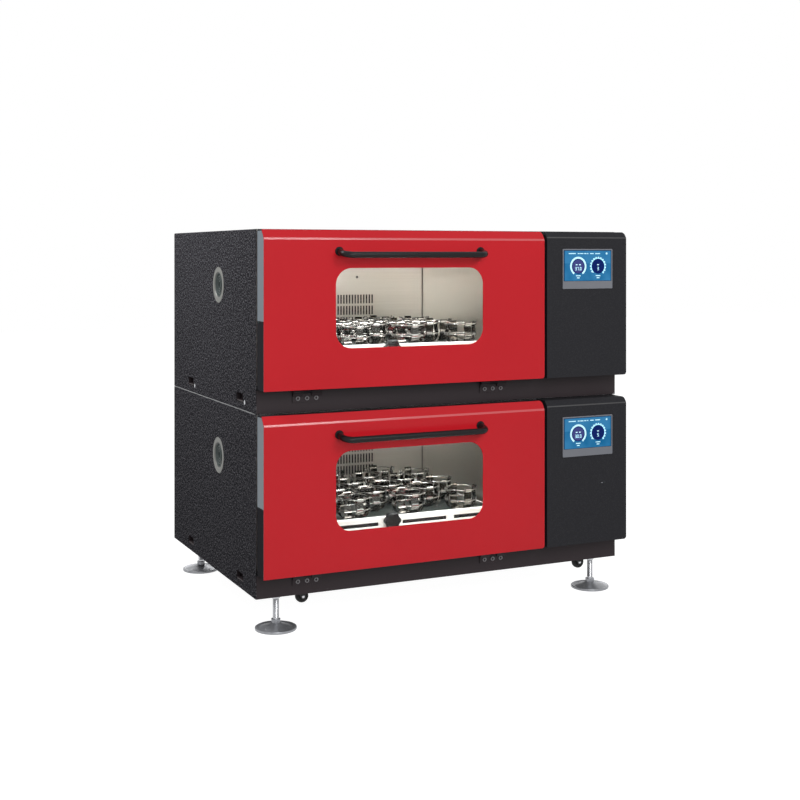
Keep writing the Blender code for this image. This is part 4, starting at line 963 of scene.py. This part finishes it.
def makeHinges(tier):
    bm, lugs = bmesh.new(), bmesh.new()
    wide, hole, half = hinge["screwRadius"], hinge["screwHole"], hinge["width"] / 2
    axis, radius, top, face = hinge["axis"], hinge["knuckle"], hinge["high"], -hinge["gap"] - hinge["leaf"]
    addTurned(bm, [(hole, 0.0003), (hole, -0.0016), (hole + 0.0008, -0.0022), (wide - 0.0008, -0.0022),
                   (wide, -0.0012), (wide, 0.0003)], (0, 0, 0), "Y", 20)
    screw = unitObject("hingeScrew", bm)
    knuckle = arc(axis, radius, quarter, 3 * quarter, 10) + [(-0.0063, top - 0.006), (-0.0006, top - 0.006),
                                                             (-0.0006, 0.064)]
    doorLug = arc(axis, radius, -math.pi, 0, 12) + [(axis[0] + radius, 0.0700), (axis[0] - radius, 0.0700)]
    for side, mid in zip(("Left", "Right"), hinge["mids"]):
        outline = roundedRectangle(mid - half, mid + half, hinge["low"], top, 0.003, 4)
        leaf = prismMesh(outline, "Y", face, -hinge["gap"])
        for low, high in ((mid - half, mid - hinge["lug"]), (mid + hinge["lug"], mid + half)):
            addPrism(leaf, knuckle, "X", low, high)
        addDrum(leaf, hinge["pin"], -half - 0.0008, half + 0.0008, Vector((mid, *axis)), "X", 20)
        simplePiece(tier + "Hinge" + side, leaf, tier, "cabinet", "baseBlack",
                    [tier + "_hinge_" + side.lower()], (0.0004,))
        corner = Vector((mid - hinge["screwPitch"], face, (hinge["low"] + top) / 2)) + tierOrigin[tier]
        fieldPiece(tier + "HingeScrews" + side, screw, (3, 1), (hinge["screwPitch"], 0), corner, "cabinet",
                   "screwGrey", "zinc")
        addPrism(lugs, doorLug, "X", mid - hinge["doorLug"], mid + hinge["doorLug"])
    drop(screw)
    simplePiece(tier + "DoorLugs", lugs, tier, tier + "_door", "doorBlack", bevel=(0.0004,))


for tier in tierNames:
    makeShell(tier)
    makeRecesses(tier)
    makeVent(tier)
    makeHinges(tier)
print("shells, vents and hinges ready")


# Chamber liner: stainless walls, a slotted return-air grille, corner seams and a front flange

liner = {"sheet": 0.0012, "left": 0.045, "right": 0.866, "back": 0.700, "floor": 0.135, "ceiling": 0.460,
         "front": 0.0006, "flangeLeft": 0.0021, "flangeRight": 0.909, "flangeLow": 0.0800, "flangeTop": 0.5177,
         "seam": 0.0016, "screws": (0.110, 0.360, 0.610), "screwHeight": 0.368}
grille = {"left": 0.234, "pitch": 0.0108, "slots": 41, "slotWidth": 0.0058, "low": 0.1975, "height": 0.0310,
          "rowPitch": 0.0390, "rows": 3}
shaftHoles = {"spots": ((0.458, 0.0185), (0.188, 0.0135), (0.728, 0.0135)), "depth": 0.357}


def makeLiner(tier):
    at, wall, gap = tierOrigin[tier], liner["sheet"], 0.0002
    left, right, back, floor, ceiling = (liner[key] for key in ("left", "right", "back", "floor", "ceiling"))
    walls, flange, inside, holes = (bmesh.new() for k in range(4))
    addBox(walls, (left - wall, liner["front"], floor - wall), (right + wall, back + wall, ceiling + wall))
    addBox(flange, (liner["flangeLeft"], 0, liner["flangeLow"]), (liner["flangeRight"], wall, liner["flangeTop"]))
    addBox(inside, (left, -0.01, floor), (right, back, ceiling))
    end = grille["left"] + grille["pitch"] * (grille["slots"] - 1) + grille["slotWidth"]
    for row in range(grille["rows"]):
        low = grille["low"] + row * grille["rowPitch"]
        addBox(holes, (grille["left"], back - 0.005, low), (end, back + 0.005, low + grille["height"]))
    for x, radius in shaftHoles["spots"]:
        addDrum(holes, radius, 0.12, 0.14, (x, shaftHoles["depth"], 0), "Z", 40)
    made = carved(tier + "Liner", walls, tier, [("UNION", flange), ("DIFFERENCE", inside), ("DIFFERENCE", holes)])
    dress(made, "cabinet", "stainless", [tier + "_chamber_liner"])

    wide = grille["pitch"] - grille["slotWidth"]
    bar = roundedRectangle(-wide / 2, wide / 2, -0.0006, grille["height"] + 0.0006, 0.0006, 2)
    unit = unitObject("grilleBar", prismMesh(bar, "Y", 0, wall))
    corner = Vector((grille["left"] + grille["slotWidth"] + wide / 2, back, grille["low"])) + at
    fieldPiece(tier + "GrilleBars", unit, (grille["slots"] - 1, grille["rows"]),
               (grille["pitch"], grille["rowPitch"]), corner, "cabinet", "stainless", "stainless", Row_Up=1.0)
    drop(unit)

    seams, line = bmesh.new(), liner["seam"]  # dark lines where the wall sheets meet
    for x, inward in ((left, 1), (right, -1)):
        xs = sorted((x + inward * gap, x + inward * (gap + line)))
        addBox(seams, (xs[0], back - line, floor), (xs[1], back - gap, ceiling))
    addBox(seams, (left + 0.002, back - line, floor), (right - 0.002, back - gap, floor + line))
    simplePiece(tier + "LinerSeams", seams, tier, "cabinet", "baseBlack")

    screw = panScrew(0.0045, 0.0022)
    for k, x in enumerate(liner["screws"]):
        place = Vector((x, back - gap, liner["screwHeight"])) + at
        fieldPiece(tier + "LinerScrew" + str(k + 1), screw, (1, 1), (0, 0), place, "cabinet", "zinc", "zinc")
    drop(screw)


# Platform: plate with front and rear rails, slots with black inserts as painted shade, and bearing hubs

rail = {"front": 0.090, "back": 0.650, "depth": 0.014, "low": 0.146, "high": 0.177, "slotLow": 0.151,
        "slotHigh": 0.162, "cut": 0.006, "starts": (0.040, 0.216), "slotLength": 0.150, "top": 0.168, "thick": 0.004,
        "mid": 0.458, "half": 0.380, "hubs": ((0.458, 0.030), (0.188, 0.022), (0.728, 0.022)), "hubDepth": 0.370}


def makePlatform(tier):
    front, back, deep, mid = rail["front"], rail["back"], rail["depth"], rail["mid"]
    low, high, top, under = rail["low"], rail["high"], rail["top"], rail["top"] - rail["thick"]
    outline = [(front, low), (front + deep, low), (front + deep, under), (back - deep, under), (back - deep, low),
               (back, low), (back, high), (back - deep, high), (back - deep, top), (front + deep, top),
               (front + deep, high), (front, high)]
    slots, slotShade, hubs = bmesh.new(), bmesh.new(), bmesh.new()
    for start in rail["starts"]:
        for sign in (-1, 1):
            xs = sorted((mid + sign * start, mid + sign * (start + rail["slotLength"])))
            for bm, inset, near, far in ((slots, 0, -0.01, rail["cut"]),
                                         (slotShade, 0.0003, 0.0022, rail["cut"] - 0.0003)):
                slot = roundedRectangle(xs[0] + inset, xs[1] - inset, rail["slotLow"] + inset,
                                        rail["slotHigh"] - inset, 0.002, 3)
                addPrism(bm, slot, "Y", front + near, front + far)
    for x, radius in rail["hubs"]:
        addTurned(hubs, [(radius * 0.5, under - 0.014), (radius - 0.0015, under - 0.014), (radius, under - 0.0125),
                         (radius, under + 0.001), (radius * 0.5, under + 0.001)], (x, rail["hubDepth"], 0), "Z", 32)
    plate = prismMesh(outline, "X", mid - rail["half"], mid + rail["half"])
    made = carved(tier + "Platform", plate, tier, [("DIFFERENCE", slots)], (0.0008, 3, 40))
    dress(made, tier + "_tray", "aluminium", [tier + "_platform"])
    simplePiece(tier + "PlatformHubs", hubs, tier, tier + "_tray", "machineSteel")
    # black inserts at the bottom of the shallow rail slots: painted shade
    simplePiece(tier + "RailSlots", slotShade, tier, tier + "_tray", "knobBlack", bevel=(0.0003,))


clamps = {"pitch": (0.184, 0.084), "first": (0.182, 0.160), "count": (4, 6), "stagger": 0.5, "matMargin": 0.030,
          "matLow": 0.1683, "sheetTop": 0.1695, "straps": 4, "strap": (0.025, 0.0010), "cuff": (0.0215, 0.0008),
          "lip": (0.0200, 0.0007), "wire": 0.0014, "ringRadius": 0.0493, "bow": 0.0008,
          "rings": ((0.0590, 0.0020), (0.0270, 0.0008)), "screws": (13, 7), "screwPitch": (0.052, 0.0838),
          "screwStart": (-0.030, -0.042, 0)}
strapPath = ((0.010, 0.0008), (0.026, 0.0008), (0.036, 0.0018), (0.0425, 0.0068), (0.0470, 0.0158), (0.0490, 0.0271),
             (0.0478, 0.0385), (0.0462, 0.0476), (0.0466, 0.0567), (0.0492, 0.0635), (0.0512, 0.0668))
cuffPath = ((0.0497, 0.0235), (0.0508, 0.0250), (0.0510, 0.0310), (0.0503, 0.0335))
lipPath = ((0.0500, 0.0545), (0.0519, 0.0570), (0.0519, 0.0615), (0.0500, 0.0640))


def strapRibbon(bm, path, width, thick, turn):
    spin = Matrix.Rotation(turn, 4, "Z")
    rows = []
    for i, (radius, height) in enumerate(path):
        before, after = path[max(i - 1, 0)], path[min(i + 1, len(path) - 1)]
        along = Vector((after[0] - before[0], after[1] - before[1])).normalized()
        normal = Vector((along.y, -along.x)) * thick / 2
        corners = [(radius + sign * normal.x, side * width / 2, height + sign * normal.y)
                   for sign, side in ((1, -1), (1, 1), (-1, 1), (-1, -1))]
        rows.append([bm.verts.new(spin @ Vector(corner)) for corner in corners])
    bridge(bm, rows)


def smoothPath(points, steps=3):  # points between the chosen ones, on a smooth curve
    made = []
    for i in range(len(points) - 1):
        p0, p1, p2, p3 = (Vector(points[max(min(i + k, len(points) - 1), 0)]) for k in (-1, 0, 1, 2))
        for k in range(steps):
            t = k / steps
            made.append(tuple(0.5 * (2 * p1 + (p2 - p0) * t + (2 * p0 - 5 * p1 + 4 * p2 - p3) * t * t
                                     + (3 * p1 - p0 - 3 * p2 + p3) * t ** 3)))
    return made + [tuple(points[-1])]


def clampUnits():  # the cup with its straps, and the lips, cuffs and wires; one steel, darkened on the first as painted shade and brightened on the second as a painted highlight
    cup, trim = bmesh.new(), bmesh.new()
    addTurned(cup, [(0, 0.0), (0.0306, 0.0), (0.0300, 0.0012), (0.0046, 0.0012), (0.0038, 0.0022), (0, 0.0022)],
              (0, 0, 0), "Z", 24)
    for k in range(clamps["straps"]):
        turn = math.tau * k / clamps["straps"]
        strapRibbon(cup, smoothPath(strapPath), *clamps["strap"], turn)
        strapRibbon(trim, smoothPath(cuffPath, 2), *clamps["cuff"], turn)
        strapRibbon(trim, smoothPath(lipPath, 2), *clamps["lip"], turn)
    for height, sway in clamps["rings"]:
        ring = []
        for k in range(48):  # the wire bows out and up a little between the straps
            turn = math.tau * k / 48
            bow = (1 - math.cos(clamps["straps"] * turn)) / 2
            radius = clamps["ringRadius"] + clamps["bow"] * bow
            ring.append(Vector((radius * math.cos(turn), radius * math.sin(turn), height + sway * bow)))
        sweep(trim, ring, clamps["wire"], 8, True)
    return unitObject("clampUnit", cup), unitObject("clampTrim", trim)


def makeClamps(tier):
    tray, margin, top = tier + "_tray", clamps["matMargin"], clamps["sheetTop"]
    mat = roundedRectangle(clampLow.x - margin, clampHigh.x + margin, clampLow.y, clampHigh.y, 0.004, 4)
    simplePiece(tier + "TrayMat", prismMesh(mat, "Z", clamps["matLow"], top), tier, tray, "matBlack",
                bevel=(0.0003,))
    place = Vector((*clamps["first"], top)) + tierOrigin[tier]
    unit, trim = clampUnits()
    # cups and straps in the darkened steel (painted shade), trims in the brightened steel (painted highlight)
    for name, copied, surface, replaced in (("FlaskClamps", unit, "springSteel", [tier + "_flask_clamps"]),
                                            ("ClampTrims", trim, "brightSteel", ())):
        fieldPiece(tier + name, copied, clamps["count"], clamps["pitch"], place, tray, surface, "stainless", replaced,
                   Stagger=clamps["stagger"])
    bm = bmesh.new()
    addTurned(bm, [(0, 0), (0.0032, 0), (0.0028, 0.0010), (0.0016, 0.0016), (0, 0.0016)], (0, 0, 0), "Z", 12)
    screw = unitObject("matScrew", bm)
    start = place + Vector(clamps["screwStart"])
    fieldPiece(tier + "MatScrews", screw, clamps["screws"], clamps["screwPitch"], start, tray, "springSteel",
               "stainless")
    drop(unit, trim, screw)


knob = {"radius": 0.027, "lobe": 0.0042, "lobes": 6, "depth": 0.022, "gap": 0.001, "height": 0.16667, "steps": 72,
        "axle": (0.0060, 0.0088, 0.0205),
        "shape": ((0.30, 0.0010), (0.62, 0.0002), (0.90, 0.0010), (0.98, 0.0028), (1.0, 0.0060), (1.0, 0.0170),
                  (0.94, 0.0200), (0.62, 0.0218), (0.34, 0.0220))}


def makeKnob(tier):
    bm = bmesh.new()
    front = rail["front"] - knob["gap"] - knob["depth"]
    centre = Vector((rail["mid"], 0, knob["height"]))
    rings = []
    for share, depth in knob["shape"]:
        ring = []
        for k in range(knob["steps"]):
            turn = math.tau * k / knob["steps"]
            radius = (knob["radius"] - knob["lobe"] * (1 - math.cos(knob["lobes"] * turn)) / 2) * share
            corner = Vector((radius * math.cos(turn), front + depth, radius * math.sin(turn)))
            ring.append(bm.verts.new(centre + corner))
        rings.append(ring)
    bridge(bm, rings)
    radius, length, start = knob["axle"]
    addDrum(bm, radius, 0, length, centre + Vector((0, front + start, 0)), "Y", 24)
    simplePiece(tier + "TrayKnob", bm, tier, tier + "_knob", "knobBlack", [tier + "_tray_knob"])


for tier in tierNames:
    makeLiner(tier)
    makePlatform(tier)
    makeClamps(tier)
    makeKnob(tier)
print("chambers ready")


# Levelling feet: pressed disc, hex nut and threaded stem, with a flared collar under the base

foot = {"floor": -0.100, "top": 0.0545, "stemLow": 0.0295, "thread": (0.034, 0.096), "pitch": 0.0024, "stem": 0.0090,
        "root": 0.0084, "nut": (0.0140, 0.0185, 0.0300), "nutTurn": 0.3, "rivets": (4, 0.0400, 0.5, 0.0083),
        "disc": ((0, 0.0006), (0.0570, 0.0006), (0.0580, 0.0), (0.0592, 0.0006), (0.0600, 0.0022), (0.0600, 0.0052),
                 (0.0594, 0.0070), (0.0578, 0.0079), (0.0560, 0.0078), (0.0530, 0.0062), (0.0500, 0.0052),
                 (0.0470, 0.0056), (0.0450, 0.0068), (0.0350, 0.0100), (0.0250, 0.0130), (0.0180, 0.0160),
                 (0.0145, 0.0184), (0.0125, 0.0190), (0, 0.0190)),
        "collar": ((0.0100, -0.0110), (0.0118, -0.0110), (0.0128, -0.0094), (0.0136, -0.0050), (0.0165, -0.0012),
                   (0.0200, -0.0002), (0.0200, 0.0003), (0.0100, 0.0003)),
        "rivet": ((0, -0.001), (0.0026, -0.001), (0.0026, 0.0), (0.0016, 0.0010), (0, 0.0012))}


def middleOf(node):
    low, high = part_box(node)
    return (low + high) / 2 - tierOrigin["lower"]


def makeFoot(corner):
    body = "foot_" + corner
    centre = middleOf("levelling_foot_" + corner)
    base = Vector((centre.x, centre.y, foot["floor"]))
    disc, nut, stem, collar, rivet = (bmesh.new() for k in range(5))
    addTurned(disc, foot["disc"], base, "Z", 72)
    simplePiece(body, disc, "lower", body, "satinZinc", ["levelling_" + body])
    across, low, high = foot["nut"]
    hexTurn = [math.tau * k / 6 + foot["nutTurn"] for k in range(6)]
    addPrism(nut, [(base.x + across * math.cos(a), base.y + across * math.sin(a)) for a in hexTurn], "Z",
             base.z + low + 0.001, base.z + high - 0.001)
    for h0, h1, near, far in ((low, low + 0.001, 0.93, 0.96), (high - 0.001, high, 0.96, 0.93)):
        addTurned(nut, [(0, h0), (across * near, h0), (across * far, h1), (0, h1)], base, "Z", 24)
    simplePiece("footNut_" + corner, nut, "lower", body, "satinZinc", bevel=(0.0004,))
    start, end = foot["thread"]
    root, crest, pitch, top = foot["root"], foot["stem"], foot["pitch"], foot["top"] - foot["floor"]
    profile = [(0, foot["stemLow"]), (root, foot["stemLow"]), (root, start)]
    count = int((end - start) / pitch)
    for k in range(count):
        level = start + pitch * k
        profile += [(root, level), (crest, level + pitch * 0.4), (crest, level + pitch * 0.6)]
    profile += [(root, start + pitch * count), (crest - 0.0002, top - 0.002), (crest - 0.0014, top), (0, top)]
    addTurned(stem, profile, base, "Z", 28)
    simplePiece("footStem_" + corner, stem, "lower", body, "zinc", smooth=60)
    addTurned(collar, foot["collar"], Vector((centre.x, centre.y, 0)), "Z", 32)
    simplePiece("footCollar_" + corner, collar, "lower", "cabinet", "zinc", smooth=50)
    addTurned(rivet, foot["rivet"], (0, 0, 0), "Z", 12)
    unit = unitObject("footRivet", rivet)
    count, radius, first, level = foot["rivets"]
    copiesPiece("footRivets_" + corner, copyRing,
                {"Unit": unit, "Count": count, "Radius": radius, "First": first,
                 "Centre": base + tierOrigin["lower"] + Vector((0, 0, level))}, body, "machineSteel")
    drop(unit)


# Casters, tucked up under the base: crown plate, tapered fork, wheel and a bright axle bolt

caster = {"wheel": 0.019, "tread": 0.0088, "trail": 0.018, "side": 0.0028, "half": 0.0101, "crown": (0.0180, 0.0214),
          "crownReach": (0.0108, 0.0128), "axle": (0.0038, 0.0115), "bolt": 0.0044}


def makeCaster(corner):
    body = "caster_" + corner
    axle = middleOf("caster_wheel_" + corner)
    pivot = axle.x - caster["trail"]
    low, high = caster["crown"]
    along, across = caster["crownReach"]
    inner, outer = caster["half"], caster["half"] + caster["side"]
    fork = prismMesh(roundedRectangle(pivot - along, axle.x + along, axle.y - across, axle.y + across, 0.004, 4), "Z",
                     low, high)
    leg = [(axle.x + 0.0080 * math.cos(a), axle.z + 0.0078 * math.sin(a))
           for a in [math.pi + math.pi * k / 12 for k in range(13)]]
    leg += [(axle.x + 0.0106, low + 0.001), (pivot - 0.0102, low + 0.001), (pivot - 0.0098, low - 0.003)]
    for side in (-1, 1):
        ends = sorted((axle.y + side * inner, axle.y + side * outer))
        addPrism(fork, leg, "Y", ends[0], ends[1])
    radius, reach = caster["axle"]
    addDrum(fork, radius, -reach, reach, axle, "Y", 20)
    simplePiece("casterFork_" + corner, fork, "lower", body, "knobBlack", ["caster_fork_" + corner],
                (0.0005,))
    bolts, wheel, radius = bmesh.new(), bmesh.new(), caster["bolt"]
    for side in (-1, 1):
        profile = ((0, outer - 0.001), (radius, outer - 0.001), (radius, outer + 0.001),
                   (radius * 0.7, outer + 0.0022), (0, outer + 0.0024))
        addTurned(bolts, [(r, h * side) for r, h in profile], axle, "Y", 18)
    simplePiece("casterBolt_" + corner, bolts, "lower", body, "zinc")
    wide, radius = caster["tread"], caster["wheel"]
    half = [(0.0042, 0.0), (0.0042, wide * 0.94), (0.0085, wide * 0.94), (0.0098, wide * 0.62), (0.0135, wide * 0.62),
            (0.0148, wide * 0.90), (radius - 0.0022, wide), (radius - 0.0008, wide * 0.78), (radius, wide * 0.40)]
    addTurned(wheel, half + [(r, -h) for r, h in half[::-1] if h > 0], axle, "Y", 48)
    simplePiece("casterWheel_" + corner, wheel, "lower", "wheel_" + corner, "rubberBlack",
                ["caster_wheel_" + corner])


for corner in ("front_left", "front_right", "rear_left", "rear_right"):
    makeFoot(corner)
    makeCaster(corner)
print("feet and casters ready")


# Back of the cabinet: louvres, cover screws and a power inlet on the rear panel

back = {"face": rearHigh.y, "louvre": (0.074, 0.0100, 0.0052), "louvrePitch": (0.096, 0.019), "louvreSteps": (7, 12),
        "blocks": ((0.150, 0.150, 2, 9), (0.990, 0.300, 2, 8)), "screwInset": 0.014, "screwLow": 0.020,
        "sideScrews": (0.180, 0.170), "inlet": (1.060, 0.115), "inletRim": (0.025, 0.0155),
        "inletWell": (0.0125, 0.0085),
        "pins": ((-0.007, -0.0015), (0.0, 0.0025), (0.007, -0.0015))}


def louvreUnit():  # a hood that swells from the sheet and opens downwards
    wide, tall, deep = back["louvre"]
    steps, sections = back["louvreSteps"]
    bm = bmesh.new()
    rings = []
    for k in range(sections + 1):
        share = k / sections
        swell = math.sin(math.pi * min(max(share, 0.06), 0.94)) ** 0.5
        x = (share - 0.5) * wide
        turns = [quarter * j / steps for j in range(steps + 1)]
        rings.append([bm.verts.new((x, deep * swell * math.sin(a), -tall * (1 - math.cos(a)))) for a in turns]
                     + [bm.verts.new((x, -0.001, -tall)), bm.verts.new((x, -0.001, 0.0))])
    bridge(bm, rings)
    return unitObject("louvre", bm)


def inletOutline(half):
    x, z = back["inlet"]
    return roundedRectangle(x - half[0], x + half[0], z - half[1], z + half[1], 0.003, 4)


def makeBack(tier):
    face, inset, low = back["face"], back["screwInset"], back["screwLow"]
    unit = louvreUnit()
    for number, (x, z, *count) in enumerate(back["blocks"]):
        corner = Vector((x, face, z)) + tierOrigin[tier]
        fieldPiece(tier + "Louvres" + str(number + 1), unit, count, back["louvrePitch"], corner, "cabinet",
                   "powderCoat", "powder_coat", Row_Up=1.0)
    screw = panScrew(0.0042, 0.0020)
    span, level = rearHigh.x - 2 * inset - 0.004, back["sideScrews"]
    for name, count, pitch, height in (("Across", (7, 2), (span / 6, rearHigh.z - inset - low), low),
                                       ("Sides", (2, 2), (span, level[1]), level[0])):
        corner = Vector((inset + 0.004, face - 0.0002, height)) + tierOrigin[tier]
        fieldPiece(tier + "BackScrews" + name, screw, count, pitch, corner, "cabinet", "zinc", "zinc", Row_Up=1.0,
                   Turn=Vector((0, 0, math.pi)))
    drop(unit, screw)
    well = prismMesh(inletOutline(back["inletWell"]), "Y", face + 0.0006, face + 0.01)
    rim = prismMesh(inletOutline(back["inletRim"]), "Y", face, face + 0.0032)
    dress(carved(tier + "Inlet", rim, tier, [("DIFFERENCE", well)], (0.0005,)), "cabinet", "knobBlack")
    x, z = back["inlet"]
    pins = bmesh.new()
    for shift, lift in back["pins"]:
        addBox(pins, (x + shift - 0.001, face, z + lift - 0.0022),
               (x + shift + 0.001, face + 0.0028, z + lift + 0.0022))
    simplePiece(tier + "InletPins", pins, tier, "cabinet", "zinc", bevel=(0.0003,))


# Parts that keep their modelled shape and only need a surface

carriedOver = {"base_pan": "baseBlack", "rear_panel": "powderCoat", "main_crank": "machineSteel",
               "idler_left": "machineSteel", "idler_right": "machineSteel", "drive_motor": "motorGrey",
               "motor_pulley": "machineSteel", "drive_belt": "rubberBlack", "fan_wheel": "motorGrey"}
for tier in tierNames:
    makeBack(tier)
    for node, surface in carriedOver.items():
        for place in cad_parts[tier + "_" + node].material_slots:
            place.material = finishes[surface]
print("back panels and drive ready")
